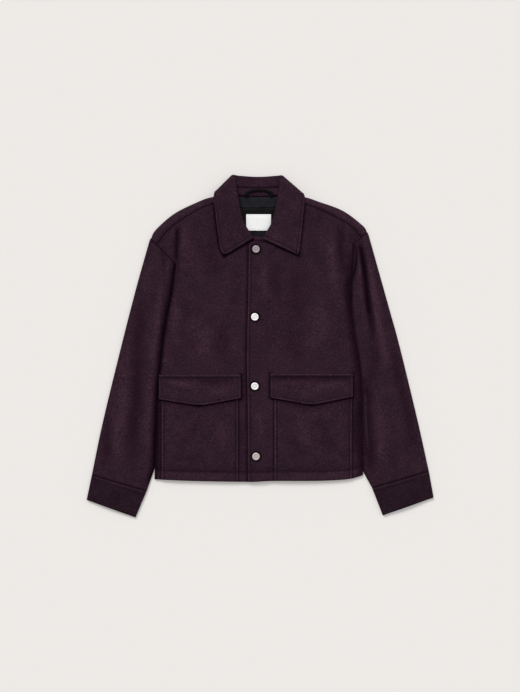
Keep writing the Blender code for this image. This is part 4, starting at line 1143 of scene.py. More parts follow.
def build_yoke(side, wool, thread):
    """The strip over one shoulder, from the fold to the forward seam."""
    shares = np.linspace(0.0, 1.0, YOKE_ROWS)
    crests = at_shares(spline(SHOULDER_LINE[side]), shares)
    seams = at_shares(spline(FORWARD_SEAM[side]), shares)
    x, y, from_crest, from_seam, share = plan_rows(crests, seams, TURN_STEPS[:7], EDGE_STEPS[:9], 1.6)
    crest = lift(x, y) + FOLD_RADIUS + FOLD_GAP
    face = np.maximum(body_top(side, x, y), crest + FOLD_RADIUS)
    face = face + 0.9 * np.sin(math.pi * np.clip(share, 0.0, 1.0))
    along = length_along(crests)[:, None] + 0.0 * x
    z = crest + (face - crest) * rounded(from_crest, TURN_REACH) - SEAM_DIP * bell(from_seam, SEAM_SPREAD)
    z = z - SEAM_DIP * bell(along, SEAM_SPREAD) - groove(from_seam - YOKE_STITCH)
    z = z + 0.15 * pucker(along, 2.0, 19.0) * bell(from_seam - 3.0, 4.0)
    top = np.dstack([x, y, z])
    inner = top - offset(top, np.full(x.shape, CLOTH))
    # Painted shade along the seams and the row of stitching; the whole yoke is made 1.16 times lighter.
    sewn = (from_seam - YOKE_STITCH, 1.4, 0.36)
    tone = 1.16 * painted_line_shade((from_seam, 2.4, 0.68), sewn, (along, 2.4, 0.55))
    yoke = add_shell(f"yoke_{side}", top, inner, wool, tone=tone)
    sewing = sew(f"yoke_{side}", [along_rows(top, from_seam, YOKE_STITCH, slice(2, -10))], thread)
    declare("yoke", grid_area(top), [sewing])


def tube_grid(outer_ends, inner_ends, along, depths, creases, dips):
    """Rings of a flat tube from its outer to its inner edge over the top, and back underneath."""
    table = np.array(depths)
    outer, ridge, place, inner = (np.interp(along, table[:, 0], table[:, k])[:, None] for k in (1, 2, 3, 4))
    steps = TURN_STEPS[:9]
    x, y, from_out, from_in, u = plan_rows(outer_ends, inner_ends, steps, steps, TUBE_STEP)
    rise = outer + (ridge - outer) * smooth_step(u / place, 0.0, 1.0)
    fall = inner + (ridge - inner) * (1.0 - smooth_step((u - place) / (1.0 - place), 0.0, 1.0))
    calm = smooth_step(from_out, 2.0, 14.0) * smooth_step(from_in, 1.0, 8.0)
    crease = crease_depth(creases, x, y) * calm
    face = np.where(u < place, rise, fall) + swell(x * 1.3, y * 1.1) * calm - crease - dips
    near_in = u > 0.5
    crest = 0.5 * np.where(near_in, inner, outer)
    turned = rounded(np.where(near_in, from_in, from_out), TURN_REACH)
    over = np.dstack([x, y, crest + (face - crest) * turned])
    hollow = UNDER_SHARE * np.clip(crease, 0.0, None)
    under = np.dstack([x, y, crest * (1.0 - turned) + hollow * turned])
    return Tube(np.hstack([over, under[:, -2:0:-1]]), over.shape[1], from_out, from_in, crease)


def tube_tone(tube, tone):
    """The painted shade of a tube's upper side, and of its underside, with painted shade in its shallower
    creases.
    """
    under = painted_crease_shade(2.0 * UNDER_SHARE * np.clip(tube.crease, 0.0, None))
    return np.hstack([tone, under[:, -2:0:-1]])


def tube_inside(grid, thickness):
    """The inside face of a tube."""
    normal = turned_up(grid_normals(grid, True), grid.shape[0] // 2, grid.shape[1] // 4)
    return grid - normal * thickness[..., None]


def tube_area(grid):
    return grid_area(np.hstack([grid, grid[:, :1]]))


def sleeve_ends(side, distances):
    """Outer and inner edge of a sleeve at shares of its length."""
    side_curve = spline(SIDE_LINE[side])[::-1]
    beside = at_shares(side_curve, np.linspace(0.0, APEX_SHARE[side], 90))
    beside = beside + np.array([-SIDE_TUCK * HAND[side], 0.0])
    end = SLEEVE_CUFF[side]
    free = np.linspace(beside[-1], (end.inner_x, end.inner_y), 10)[1:]
    inner = at_shares(np.vstack([beside, free]), distances)
    return at_shares(spline(SLEEVE_OUTER[side]), distances), inner


def build_sleeve(side, wool):
    """A sleeve from the armhole to the cuff."""
    from_top = stepped(SLEEVE_LENGTH, EDGE_STEPS[:9], EDGE_STEPS[:9])
    from_cuff = SLEEVE_LENGTH - from_top
    shares = from_top / SLEEVE_LENGTH
    outer, inner = sleeve_ends(side, shares)
    head = outer[0] - inner[0]
    toward_body = np.array([-head[1], head[0]]) * np.sign(head[0]) / np.linalg.norm(head)
    tuck = np.outer(SLEEVE_TUCK * (1.0 - smooth_step(from_top, 0.0, 6.0)), toward_body)
    dips = SEAM_DIP * (bell(from_top, SEAM_SPREAD) + bell(from_cuff, SEAM_SPREAD))
    dips = (dips - 0.7 * bell(from_top - 7.0, 5.0))[:, None]
    creases = SLEEVE_CREASES[side]
    tube = tube_grid(outer + tuck, inner + tuck, shares, SLEEVE_DEPTHS[side], creases, dips)
    grid = tube.grid
    # Painted shade in the creases, on the slope beside the body, in the deep folds, along the seams and at
    # the outer edge.
    reach, strength = SLEEVE_SHADE[side]
    beside = strength * (1.0 - smooth_step(shares, 0.93, 1.0)[:, None])
    tone = painted_crease_shade(tube.crease) * (1.0 - beside * (1.0 - smooth_step(tube.from_in, 0.0, reach)))
    over = grid[:, : tube.columns]
    tone = tone * painted_fold_shade(f"sleeve_{side}", over[..., 0], over[..., 1])
    seams = (from_top[:, None], 2.6, 0.6), (from_cuff[:, None], 2.4, 0.6)
    tone = tube_tone(tube, tone * painted_line_shade(*seams, (tube.from_out, 3.0, 0.2)))
    inside = tube_inside(grid, np.full(grid.shape[:2], CLOTH))
    sleeve = add_shell(f"sleeve_{side}", grid, inside, wool, ring=True, tone=tone)
    declare("sleeve", tube_area(grid))


def build_cuff(side, wool, thread):
    """The cuff band with its row of topstitching."""
    tops = np.array(SLEEVE_CUFF[side]).reshape(2, 2)
    bottoms = np.array(CUFF_END[side]).reshape(2, 2)
    drop = (bottoms - tops) / np.linalg.norm(bottoms - tops, axis=1)[:, None]
    tops = tops - drop * CUFF_TUCK
    length = float(np.linalg.norm(bottoms - tops, axis=1).mean())
    from_top = stepped(length, CUFF_STEPS, EDGE_STEPS[:7], TUBE_STEP)
    shares = from_top / length
    outer, inner = (top + (end - top) * shares[:, None] for top, end in zip(tops, bottoms))
    dips = SEAM_DIP * bell(from_top, SEAM_SPREAD) + groove(from_top - CUFF_STITCH)
    dips = (dips - 0.5 * bell(from_top - 4.2, 2.5))[:, None]
    tube = tube_grid(outer, inner, shares, CUFF_DEPTHS, [], dips)
    grid, columns = tube.grid, tube.columns
    end_round = rounded(length - from_top + 0.1, 2.0)[:, None]
    grid[:, :columns, 2] -= CLOTH * 0.9 * (1.0 - end_round)
    inside = tube_inside(grid, np.repeat(CLOTH * 1.2 * end_round, grid.shape[1], 1))
    distance = np.repeat(from_top[:, None], columns, 1)
    # Painted shade at the seam, in the stitching's groove and at the lower edge, with a painted highlight on
    # the puffed band between seam and stitching.
    sewn = (distance - CUFF_STITCH, 1.7, 0.62)
    tone = painted_line_shade((distance, 2.2, 0.6), sewn, (length - distance, 2.6, 0.45))
    tone = tube_tone(tube, tone * (1.0 + 0.6 * bell(distance - 4.2, 2.2)))
    cuff = add_shell(f"cuff_{side}", grid, inside, wool, ring=True, tone=tone)
    run = along_columns(grid[:, :columns], distance, CUFF_STITCH, slice(7, -7))
    sewing = sew(f"cuff_{side}", [run], thread)
    declare("cuff", tube_area(grid), [sewing])


# Collar


def side_of(station):
    return "left" if station.roll_x < CENTRE_X else "right"


def unit(vector):
    return vector / np.linalg.norm(vector)


def collar_frame(station):
    """Roll middle, the fall's outer-face direction, and the ends of the fall and the stand."""
    roll = np.array([station.roll_x, station.roll_y])
    edge = np.array([station.edge_x, station.edge_y])
    neck = np.array([station.neck_x, station.neck_y])
    side = side_of(station)
    under = smooth_step(station.turn, 0.0, 180.0)
    lean = unit(edge - roll)
    level = HAND[side] * np.array([-lean[1], lean[0]])
    angle = math.radians(station.turn)
    face = np.array([*(level * math.sin(angle)), math.cos(angle)])
    edge_under = smooth_step(station.turn, 20.0, 150.0)
    edge_top = float(body_top(side, *edge)) + FALL_CLEAR
    edge_z = (1.0 - edge_under) * edge_top + edge_under * 0.5 * FALL_CLOTH
    inner_top = float(body_top(side, *(roll + lean * 14.0))) + FALL_CLEAR + ROLL_LIFT
    roll_z = (1.0 - under) * (inner_top - ROLL_RADIUS) + under * BACK_ROLL_HEIGHT
    front_neck = float(body_top(side, *neck)) - float(overlap_rise(side, *neck)) - 0.5 * CLOTH
    back_neck = NECK_LIFT + LINING_GAP + 0.5 * STAND_CLOTH
    neck_z = (1.0 - under) * front_neck + under * back_neck
    return np.array([*roll, roll_z]), face, np.array([*edge, edge_z]), np.array([*neck, neck_z])


def creased(station, loss):
    """What is left of a size where the fall is creased at a shoulder."""
    return 1.0 - loss * math.sin(math.radians(station.turn)) ** 2


def collar_stations():
    """Stations from the left front end round the back to the right one, with the distance from an end."""
    rows = np.array([*COLLAR["left"], COLLAR_BACK, *COLLAR["right"][::-1]])
    dense = spline(rows, 60)
    along = length_along(dense[:, 2:4])
    wanted = stepped(along[-1], EDGE_STEPS, EDGE_STEPS, 3.0)
    made = np.column_stack([np.interp(wanted, along, dense[:, k]) for k in range(dense.shape[1])])
    return [Station(*values) for values in made], np.minimum(wanted, along[-1] - wanted)


def fall_section(station, from_end):
    """Middle points of the fall from the stand to its outer edge, their distances and their pull at a tip."""
    roll, face, edge, neck = collar_frame(station)
    radius = ROLL_RADIUS * creased(station, CREASE_TIGHT)
    start = roll - face * radius
    away = unit(neck - start)
    rise = [start + away * station.rise * u for u in np.linspace(1.0, 0.0, 7)[:-1]]
    lean = unit(edge - roll)
    angles = np.linspace(0.0, math.pi, 11)
    curl = [roll - face * radius * math.cos(a) - lean * radius * math.sin(a) for a in angles]
    leaf = roll + face * radius
    length = float(np.linalg.norm(edge - leaf))
    places = row_places(np.array([length]), np.array([0.0, 2.0]), EDGE_STEPS, 2.6 * length / 62.0)[0]
    line = leaf + (edge - leaf) * (places / length)[:, None]
    side = side_of(station)
    if station.turn < FALL_ON_TOP:
        line[:, 2] = np.maximum(line[:, 2], body_top(side, line[:, 0], line[:, 1]) + FALL_CLEAR)
    hump = np.sin(math.pi * np.clip(places / length, 0.0, 1.0)) ** 0.8 * FALL_PUFF
    line[:, 2] += hump * (1.0 - smooth_step(station.turn, 20.0, 120.0))
    from_edge = length - places
    corner = TIP_ROUND[side]
    a, b = np.clip(corner - from_edge, 0.0, None), max(corner - from_end, 0.0)
    shrink = 1.0 - np.maximum(a, b) / np.maximum(np.hypot(a, b), 1e-9)
    shrink = np.where((a > 0) & (b > 0), shrink, 0.0)
    line = line - np.outer(shrink * a, np.append(lean[:2], 0.0))
    points = np.vstack([rise, curl, line[1:]])
    hidden = len(rise) + len(curl)
    distances = np.concatenate([np.full(hidden, FAR_IN), from_edge[1:]])
    return points, distances, np.concatenate([np.zeros(hidden), shrink[1:] * b])


def collar_runs(outer, from_edge, ends, stations):
    """Rows of stitching along the edge and both ends of the fall, where it lies on top."""
    from_end = ends[:, 0]
    tops = np.flatnonzero(np.array([s.turn for s in stations]) < SEWN_TURN)
    split = np.flatnonzero(np.diff(tops) > 1)[0] + 1
    leaf = slice(-LEAF_COLUMNS, None)
    runs = []
    for rows in (tops[:split], tops[split:]):
        inside = rows[from_end[rows] > COLLAR_STITCH]
        runs.append(along_rows(outer, from_edge, COLLAR_STITCH, slice(inside[0], inside[-1])))
        corner = rows[from_end[rows] < TIP_REACH]
        line = along_columns(outer[corner][:, leaf], ends[corner][:, leaf], COLLAR_STITCH)
        runs.append(line[from_edge[corner[0]][leaf] > COLLAR_STITCH])
    return runs


def build_collar(stations, from_end, wool, thread):
    """The fall with its edge stitching."""
    sections = [fall_section(s, d) for s, d in zip(stations, from_end)]
    grid, from_edge, pulled = (np.array(part) for part in zip(*sections))
    ends = np.repeat(from_end[:, None], grid.shape[1], 1)
    run = np.gradient(grid[..., :2], axis=0)
    run = run / np.maximum(np.linalg.norm(run, axis=2, keepdims=True), 1e-9)
    hand = np.where(np.arange(len(stations)) < len(stations) // 2, 1.0, -1.0)[:, None]
    grid[..., :2] += run * (pulled * hand)[..., None]
    press = np.array([creased(s, CREASE_PRESS) for s in stations])[:, None]
    thickness = FALL_CLOTH * press * rounded(from_edge + 0.06, 2.0) * rounded(ends + 0.06, 2.0)
    end_row = groove(ends - COLLAR_STITCH) * (from_edge > COLLAR_STITCH - 1.0)
    sewn = groove(from_edge - COLLAR_STITCH) + end_row
    nearest = np.minimum(from_edge, ends)
    puffed = 0.35 * bell(nearest - 2.6, 1.8)
    normal = turned_up(grid_normals(grid), 6, -12)
    outer = grid + normal * (0.5 * thickness - sewn + puffed)[..., None]
    inner = grid - normal * (0.5 * thickness)[..., None]
    at_end = np.where(from_edge > 5.0, ends, FAR_IN) - COLLAR_STITCH
    # Painted shade in the stitching's grooves, a painted highlight along the rolled edges, and a gradient
    # from darker on the left side to lighter on the right, painted as the light from the right falls.
    tone = painted_line_shade((from_edge - COLLAR_STITCH, 1.4, 0.5), (at_end, 1.4, 0.5))
    tone = tone * (1.0 + 0.36 * bell(nearest - 2.4, 1.8))
    tone = tone * np.linspace(0.94, 1.1, len(stations))[:, None]
    fall = add_shell("collar_fall", outer, inner, wool, tone=tone)
    sewing = sew("collar", collar_runs(outer, from_edge, ends, stations), thread)
    declare("collar_fall", grid_area(grid), [sewing])


def build_stand(stations, wool, thread):
    """The band inside the back of the neck, with its seam to the fall."""
    rows, steps = [], None
    for station in stations:
        if station.turn <= STAND_TURN:
            continue
        roll, face, _, neck = collar_frame(station)
        start = roll - face * ROLL_RADIUS
        reach = np.linalg.norm(neck - start)
        first = station.rise + 0.3
        if steps is None:
            steps = stepped(reach - first, EDGE_STEPS[:8], EDGE_STEPS[:6], 2.4)
        places = first + (reach - first) * steps / steps[-1]
        rows.append(start + np.outer(places, (neck - start) / reach))
    grid = np.array(rows)
    distance = np.repeat(steps[None], len(grid), 0)
    normal = turned_up(grid_normals(grid), len(grid) // 2, 4)
    raised = 0.5 * STAND_CLOTH * rounded(distance + 0.3, 2.4) - groove(distance - STAND_STITCH) * 0.8
    outer = grid + normal * raised[..., None]
    inner = grid - normal * 0.5 * STAND_CLOTH
    # Painted shade at both edges and in the stitching's groove; the stand as a whole is made 1.08 times
    # lighter.
    sewn = (distance - STAND_STITCH, 1.2, 0.25)
    tone = 1.08 * painted_line_shade((distance, 1.8, 0.45), sewn, (distance - distance.max(), 3.0, 0.4))
    stand = add_shell("collar_stand", outer, inner, wool, tone=tone)
    sewing = sew("stand", [along_rows(outer, distance, STAND_STITCH, slice(2, -2))], thread)
    declare("collar_stand", grid_area(grid), [sewing])


# Pockets and flaps


def pocket_top(side, x, y):
    """Height of a pocket's face: it puffs out between its seams and lies flat at the hem."""
    pocket = POCKETS[side]
    low, high = sorted((pocket.inner_x, pocket.outer_x))
    u = np.clip((x - low) / (high - low), 0.0, 1.0)
    v = np.clip((y - hem_y(x) - HEM_STITCH) / (pocket.top_y - hem_y(x) - HEM_STITCH), 0.0, 1.0)
    puff = np.sin(math.pi * u) ** 0.7 * np.sin(math.pi * (0.08 + 0.84 * v)) ** 0.8
    puff = puff * smooth_step(v, 0.0, 0.12)
    folds = crease_depth(POCKET_CREASES[side], x, y)
    return body_top(side, x, y) + 0.3 + POCKET_CLOTH + POCKET_PUFF * puff - folds


def build_pocket(side, wool, thread):
    """A patch pocket with two rows of stitching down each side."""
    pocket = POCKETS[side]
    width = abs(pocket.outer_x - pocket.inner_x)
    steps = [np.concatenate([EDGE_STEPS[:6], rows[1] + ROW_STEPS]) for rows in pocket[-2:]]
    across = stepped(width, *steps)
    tall = pocket.top_y - HEM_LEVEL
    rises = stepped(tall, HEM_STEPS, np.array([0.0, 2.0]), 0.5 * GRID_STEP)
    x = np.repeat((pocket.inner_x + HAND[side] * across)[None], len(rises), 0)
    low = hem_y(x) + POCKET_HEM_INSET
    y = low + (pocket.top_y - low) * (rises / tall)[:, None]
    from_in = np.repeat(across[None], len(rises), 0)
    from_out = width - from_in
    from_hem = y - hem_y(x)
    edge = np.minimum(from_in, from_out)
    base = body_top(side, x, y) + LAYER_GAP
    cloth = edge_share(edge) * edge_share(from_hem - POCKET_HEM_INSET)
    z = base + (pocket_top(side, x, y) - base) * cloth + hem_relief(x, from_hem, 0.4)
    z = z + 0.16 * pucker(y, 2.0, 27.0) * bell(edge - 5.0, 4.0)
    # Painted shade in the creases, along the edges and rows of stitching and in the flap's shadow, a painted
    # highlight on the ridge by each edge, and the hem's painted light and shade.
    tone = painted_hem_shading(from_hem) * painted_crease_shade(crease_depth(POCKET_CREASES[side], x, y))
    for distance, rows in ((from_in, pocket.inner_rows), (from_out, pocket.outer_rows)):
        z = z - groove(distance - rows[0]) - groove(distance - rows[1])
        tone = tone * painted_line_shade((distance, 1.3, 0.9), (distance - rows[1], 1.4, 0.84))
        tone = tone * (1.0 + RIDGE_HIGHLIGHT * bell(distance - 0.56 * rows[1], 1.3))
    top = np.dstack([x, y, z])
    below_flap = away_from(flap_outline(side), x, y)
    tone = tone * painted_line_shade((below_flap, 3.8, 0.99), (below_flap - 7.0, 7.0, 0.16))
    patch = add_shell(f"pocket_{side}", top, np.dstack([x, y, base]), wool, tone=tone)
    shown = slice(2, len(rises) - HIDDEN_POCKET_ROWS)
    runs = [along_rows(top, from_in, row, shown) for row in pocket.inner_rows]
    runs += [along_rows(top, from_out, row, shown) for row in pocket.outer_rows]
    runs.append(along_columns(top, from_hem, HEM_STITCH, slice(2, -2)))
    sewing = sew(f"pocket_{side}", runs, thread)
    declare("pocket", grid_area(top), [sewing])


def build_flap(side, wool, thread):
    """A pointed pocket flap, edge stitched, standing a little off the pocket at its lower edge."""
    flap = FLAPS[side]
    width = abs(flap.outer_x - flap.inner_x)
    across = stepped(width, EDGE_STEPS, EDGE_STEPS)
    point = abs(flap.point_x - flap.inner_x)
    lower = np.interp(across, [0.0, point, width], [flap.inner_y, flap.point_y, flap.outer_y])
    lower = lower + POINT_BLUNT * bell(across - point, 5.0)
    depth = float(flap.top_y - lower.mean())
    drops = stepped(depth, EDGE_STEPS[:10], EDGE_STEPS, 2.6)
    x = np.repeat((flap.inner_x + HAND[side] * across)[None], len(drops), 0)
    y = flap.top_y + (lower - flap.top_y) * (drops / depth)[:, None]
    from_top = flap.top_y - y
    from_low = y - lower
    from_side = np.minimum(across, width - across)[None] + 0.0 * y
    edge = np.minimum(from_side, from_low)
    mouth = POCKETS[side].top_y
    on_pocket = 1.0 - smooth_step(y, mouth + FLAP_STEP[0], mouth + FLAP_STEP[1])
    rest = body_top(side, x, y) + LAYER_GAP
    base = rest + (np.maximum(pocket_top(side, x, y), rest) - rest + 0.3) * on_pocket
    base = base + FLAP_STAND * smooth_step(from_top, 25.0, 55.0)
    folds = crease_depth(FLAP_CREASES[side], x, y)
    down = np.clip(from_top / (from_top + from_low), 0.0, 1.0)
    puff = FLAP_PUFF * np.sin(math.pi * np.clip(across / width, 0.0, 1.0)[None]) ** 0.5
    cloth = edge_share(edge, FLAP_ROUND) * edge_share(from_top, FLAP_ROUND)
    z = base + (FLAP_CLOTH + puff * np.sin(math.pi * down) - folds) * cloth
    below_top = from_top > 4.0
    z = z - groove(edge - FLAP_STITCH) * below_top - groove(from_top - FLAP_TOP_STITCH)
    z = z + 0.3 * bell(edge - 2.6, 1.8) + 0.16 * pucker(x, 2.0, 27.0) * bell(from_low - 4.0, 4.0)
    top = np.dstack([x, y, z])
    # Painted shade in the stitching's grooves, below the top seam, at the sides and at the lower edge, and
    # painted highlights on the rounded edges and the puffed middle.
    tone = painted_line_shade((edge - FLAP_STITCH, 1.4, 0.4 * below_top), (from_top - 5.6, 1.8, 0.7))
    tone = tone * painted_line_shade((from_side, 2.0, 0.2), (from_low, 1.1, 0.85), (from_top - 9.0, 6.0, 0.2))
    lit = 1.0 + 0.55 * bell(edge - 2.2, 1.7) + 0.5 * bell(from_top - 1.8, 1.6)
    tone = tone * painted_crease_shade(folds) * (lit + 0.08 * bell(from_low - 24.0, 12.0))
    piece = add_shell(f"flap_{side}", top, np.dstack([x, y, base]), wool, tone=tone)
    first, last = np.searchsorted(across, (FLAP_STITCH, width - FLAP_STITCH))
    stop = len(drops) - int(np.searchsorted(drops, depth - FLAP_STITCH)) - 1
    rows = slice(3, len(drops) - max(stop, 1))
    whole = np.repeat(across[None], len(drops), 0)
    runs = [
        along_columns(top, from_low, FLAP_STITCH, slice(first, last + 1)),
        along_columns(top, from_top, FLAP_TOP_STITCH, slice(3, -3)),
        along_rows(top, whole, FLAP_STITCH, rows),
        along_rows(top, whole, width - FLAP_STITCH, rows),
    ]
    sewing = sew(f"flap_{side}", runs, thread)
    declare("flap", grid_area(top), [sewing])


# Trims and the inside of the neck


def build_stud(stud, metal):
    """A press stud's cap, turned: a rolled rim, a groove, a low ring and a plain middle."""
    base = float(body_top("right", stud.x, stud.y)) - 0.4
    angles = np.linspace(0.0, 2.0 * math.pi, STUD_SIDES, endpoint=False)
    radii, heights, tones = np.array(STUD_PROFILE).T
    x = stud.x + STUD_RADIUS * np.outer(radii, np.cos(angles))
    y = stud.y + STUD_RADIUS * np.outer(radii, np.sin(angles))
    z = base + STUD_HEIGHT * np.repeat(heights[:, None], STUD_SIDES, 1)
    ends = [(stud.x, stud.y, base), (stud.x, stud.y, base + STUD_HEIGHT * heights[-1])]
    points = np.vstack([np.dstack([x, y, z]).reshape(-1, 3), ends])
    last = len(radii) * STUD_SIDES - STUD_SIDES
    bottom, crown = last + STUD_SIDES, last + STUD_SIDES + 1
    faces = []
    for k in range(STUD_SIDES):
        n = (k + 1) % STUD_SIDES
        faces.append((bottom, n, k))
        faces.append((last + k, last + n, crown))
        for a in range(0, last, STUD_SIDES):
            faces.append((a + k, a + n, a + STUD_SIDES + n, a + STUD_SIDES + k))
    # The profile's tones: painted shadow on the skirt, painted highlight on the rim, painted shade in the
    # groove.
    shades = stud.tint * np.concatenate([np.repeat(tones, STUD_SIDES), tones[[0, -1]]])
    cap = add_mesh(f"cap_{stud.name}", points, faces, metal, shades)
    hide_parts(stud.name)


def patch_grid(patch, step):
    """Places over a rectangle, close together at its edges, and the distance from its nearest edge."""
    xs = stepped(patch.x1 - patch.x0, EDGE_STEPS[:5], EDGE_STEPS[:5], step)
    ys = stepped(patch.y1 - patch.y0, EDGE_STEPS[:5], EDGE_STEPS[:5], step)
    x, y = np.meshgrid(patch.x0 + xs, patch.y0 + ys)
    edge = np.minimum(np.minimum(x - patch.x0, patch.x1 - x), np.minimum(y - patch.y0, patch.y1 - y))
    return x, y, edge


def lining_face(x, y):
    return lift(x, y) + LINING_GAP + LINING_CLOTH


def add_lining(node, x, y, edge, relief, satin, tone):
    """One piece of lining with its relief, and its area."""
    face = lining_face(x, y) + relief
    top = np.dstack([x, y, face - 0.5 * (1.0 - edge_share(edge, 1.0))])
    under = np.dstack([x, y, lift(x, y) + LINING_GAP])
    return add_shell(node, top, under, satin, tone=tone), grid_area(top)


def build_lining(satin_yoke, satin_back, tape):
    """The lining that shows in the neck: a pleated strip with the loop, and the darker piece below it."""
    x, y, edge = patch_grid(LINING_YOKE, 1.5)
    pleat = 0.9 * smooth_step(x - 0.5, -1.0, 0.6) * bell(x - 4.0, 9.0)
    pleat = pleat + 0.45 * bell(x + 41.0, 2.2) + 0.4 * bell(x - 37.0, 2.6)
    waves = 0.16 * np.sin(x / 4.3 + 0.8 * np.sin(y / 6.0)) + 0.2 * np.sin(x / 11.0)
    relief = (pleat + waves) * smooth_step(edge, 0.0, 3.0) + 0.25 * bell(y - LINING_YOKE.y0 - 2.0, 1.6)
    # Painted shade along the pleats and at the strip's lower edge.
    pleats = (x + 43.5, 1.6, 0.35), (x + 0.6, 1.2, 0.3), (x - 34.0, 1.6, 0.3)
    tone = painted_line_shade(*pleats, (y - LINING_YOKE.y0, 2.0, 0.4))
    strip, strip_area = add_lining("lining_yoke", x, y, edge, relief, satin_yoke, tone)
    x, y, edge = patch_grid(LINING_BACK, 1.9)
    fold = 0.8 * bell(y - LINING_BACK.y1 + 4.0, 1.8) + 0.5 * bell(y - LINING_BACK.y1 + 9.0, 1.6)
    waves = 0.3 * np.sin(x / 8.0 + y / 19.0) + 0.25 * np.sin(y / 6.0 + x / 27.0)
    relief = (fold + 0.5 * waves) * smooth_step(edge, 0.0, 3.0)
    # Painted shadow under the label and beside the collar's inner edges; the lining just below the label is
    # made lighter.
    tone = painted_line_shade((y - LABEL.y0 + 1.2, 1.8, 0.7)) * rolls_tone(x, y, 3.0, 0.5)
    tone = tone * (1.0 + 0.8 * (1.0 - smooth_step(y, LABEL.y0 - 4.0, LABEL.y0)))
    lower, lower_area = add_lining("lining_back", x, y, edge, relief, satin_back, tone)
    declare("lining_yoke", strip_area, [build_loop(tape)])
    declare("lining_back", lower_area)


def build_label(cloth, thread):
    """A blank woven label, sewn on along its top and lower edge."""
    x, y, edge = patch_grid(LABEL, 1.6)
    bow = 0.5 * np.sin(math.pi * (x - LABEL.x0) / (LABEL.x1 - LABEL.x0)) + 0.12 * np.sin(x / 5.0 + y / 9.0)
    base = lining_face(x, y) + 0.5
    low, high = y - LABEL.y0, LABEL.y1 - y
    z = base + 0.6 * edge_share(edge, 0.8) + bow * smooth_step(edge, 0.0, 6.0)
    top = np.dstack([x, y, z - 0.3 * bell(np.minimum(low, high) - LABEL_STITCH, 0.9)])
    # Painted shade beside the collar's inner edges.
    tone = rolls_tone(x, y, 2.6, 0.8)
    label = add_shell("label", top, np.dstack([x, y, base]), cloth, tone=tone)
    runs = [along_columns(top, distance, LABEL_STITCH, slice(4, -4)) for distance in (low, high)]
    sewing = sew("label", runs, thread)
    declare("label", grid_area(top), [sewing])


def build_loop(tape):
    """The hanger loop: a folded tape that arches off the stand."""
    roll, face, _, neck = collar_frame(COLLAR_BACK)
    start = roll - face * ROLL_RADIUS
    slope = (start[2] - neck[2]) / (start[1] - neck[1])
    half = 0.5 * (LOOP_FEET_X[1] - LOOP_FEET_X[0])
    angles = np.linspace(math.pi, 0.0, 72)
    path = np.column_stack([np.cos(angles) * half, np.sin(angles) ** 0.7 * LOOP_RISE])
    inside = path * (1.0 - LOOP_WIDTH / np.array([half, LOOP_RISE + LOOP_WIDTH]))
    inside[:, 1] -= 3.0 * (1.0 - np.sin(angles))
    across = np.concatenate([[0.0, 0.03, 0.09], np.linspace(0.2, 0.8, 8), [0.91, 0.97, 1.0]])
    plan = path[:, None] + (inside - path)[:, None] * across[None, :, None]
    x, y = plan[..., 0] + 0.5 * sum(LOOP_FEET_X), plan[..., 1] + LOOP_FOOT_Y
    arch = 2.6 * np.sin(angles)[:, None] ** 0.6 + 1.1 * np.sin(math.pi * across)[None]
    base = neck[2] + slope * (y - neck[1]) + 0.5 * STAND_CLOTH + 0.4 + arch
    edge = np.minimum(across, 1.0 - across)[None] * LOOP_WIDTH
    ribs = 0.1 * np.sin(across * 40.0)[None]
    top = np.dstack([x, y, base + 1.2 * edge_share(edge, 0.9) + ribs])
    return add_shell("hanger_loop", top, np.dstack([x, y, base]), tape, kind="tape")


# Stage


def build_floor():
    """A pale floor that glows a little: the glow is painted light that lightens the shadows on it."""
    mesh = bpy.data.meshes.new("floor")
    signs = [(-1, -1), (1, -1), (1, 1), (-1, 1)]
    mesh.from_pydata([(a * FLOOR_REACH, b * FLOOR_REACH, FLOOR_Z) for a, b in signs], [], [(0, 1, 2, 3)])
    inputs = {"Roughness": 0.9, "Emission Strength": FLOOR_PAINTED_GLOW, "Specular IOR Level": 0.1}
    material, tree, shader = new_material("floor_paper", inputs)
    grain = add_noise(tree, 900.0, 2.0, 0.5)
    lit = [(place, [k * (1.0 - FLOOR_PAINTED_GLOW) for k in colour]) for place, colour in FLOOR_SHADES]
    tree.links.new(add_ramp(tree, grain, lit), shader.inputs["Base Color"])
    tree.links.new(add_ramp(tree, grain, FLOOR_SHADES), shader.inputs["Emission Color"])
    mesh.materials.append(material)
    add_object("floor", mesh)


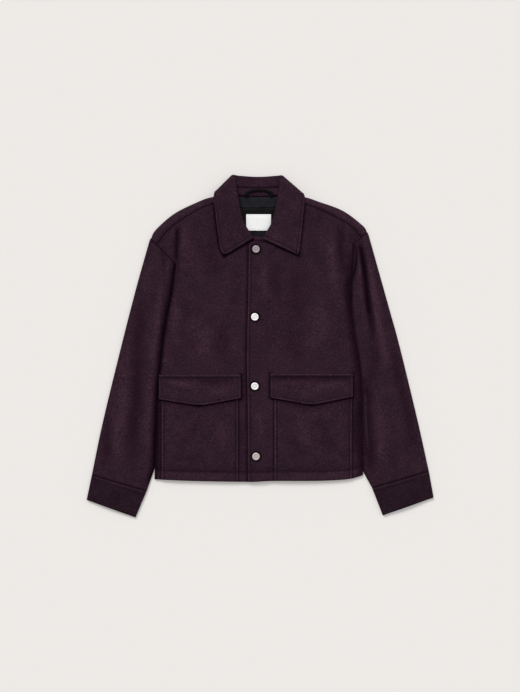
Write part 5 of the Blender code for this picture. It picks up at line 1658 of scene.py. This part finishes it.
def build_stage():
    """Floor, soft light from above and behind the collar, and a camera that looks straight down."""
    build_floor()
    scene = bpy.context.scene
    scene.world = bpy.data.worlds.new("studio")
    scene.world.use_nodes = True
    tree = scene.world.node_tree
    set_inputs(tree, tree.nodes["Background"], {"Color": (1.0, 1.0, 1.0, 1.0), "Strength": AMBIENT})
    for lamp in LAMPS:
        light = bpy.data.lights.new(lamp.name, "SUN")
        light.angle = lamp.spread
        light.energy = lamp.strength
        obj = add_object(lamp.name, light)
        obj.location = (lamp.x, lamp.y, lamp.z)
        obj.rotation_mode = "QUATERNION"
        obj.rotation_quaternion = (-obj.location).to_track_quat("-Z", "Y")
    lens = bpy.data.cameras.new("camera")
    lens.sensor_width = SENSOR_WIDTH
    lens.lens = SENSOR_WIDTH * CAMERA_HEIGHT / PHOTO_SPAN
    scene.camera = add_object("camera", lens)
    scene.camera.location = CAMERA_PLACE
    scene.view_settings.view_transform = "Standard"
    scene.view_settings.look = "None"


def build_jacket():
    wool = make_wool("wool", 1.0)
    cuff_wool = make_wool("wool_cuff", 0.68)
    thread = make_thread("thread", (0.011, 0.0048, 0.0082), 0.0)
    white_thread = make_thread("thread_white", (0.85, 0.85, 0.84), 0.1)
    satin_yoke = make_satin("satin_grey", (0.0085, 0.0082, 0.0108), (0.0140, 0.0136, 0.0175), 0.5)
    satin_back = make_satin("satin_black", (0.0035, 0.0035, 0.0036), (0.0065, 0.0064, 0.0066), 0.6)
    tape = make_satin("tape_black", (0.0014, 0.0013, 0.0016), (0.0034, 0.0032, 0.0038), 0.75)
    platings = {
        "bright": make_stud_metal("stud_bright", (0.86, 0.82, 0.81), (0.94, 0.91, 0.90), 0.5, 0.45),
        "grey": make_stud_metal("stud_grey", (0.42, 0.37, 0.36), (0.56, 0.50, 0.49), 0.5, 0.5),
    }
    build_back(wool)
    for side in SIDES:
        build_front(side, wool, thread)
        build_yoke(side, wool, thread)
        build_sleeve(side, wool)
        build_cuff(side, cuff_wool, thread)
        build_pocket(side, wool, thread)
        build_flap(side, wool, thread)
    stations, from_end = collar_stations()
    build_collar(stations, from_end, wool, thread)
    build_stand(stations, wool, thread)
    build_lining(satin_yoke, satin_back, tape)
    build_label(make_label_cloth("label_cloth"), white_thread)
    for stud in STUDS:
        build_stud(stud, platings[stud.plating])


build_jacket()
build_stage()
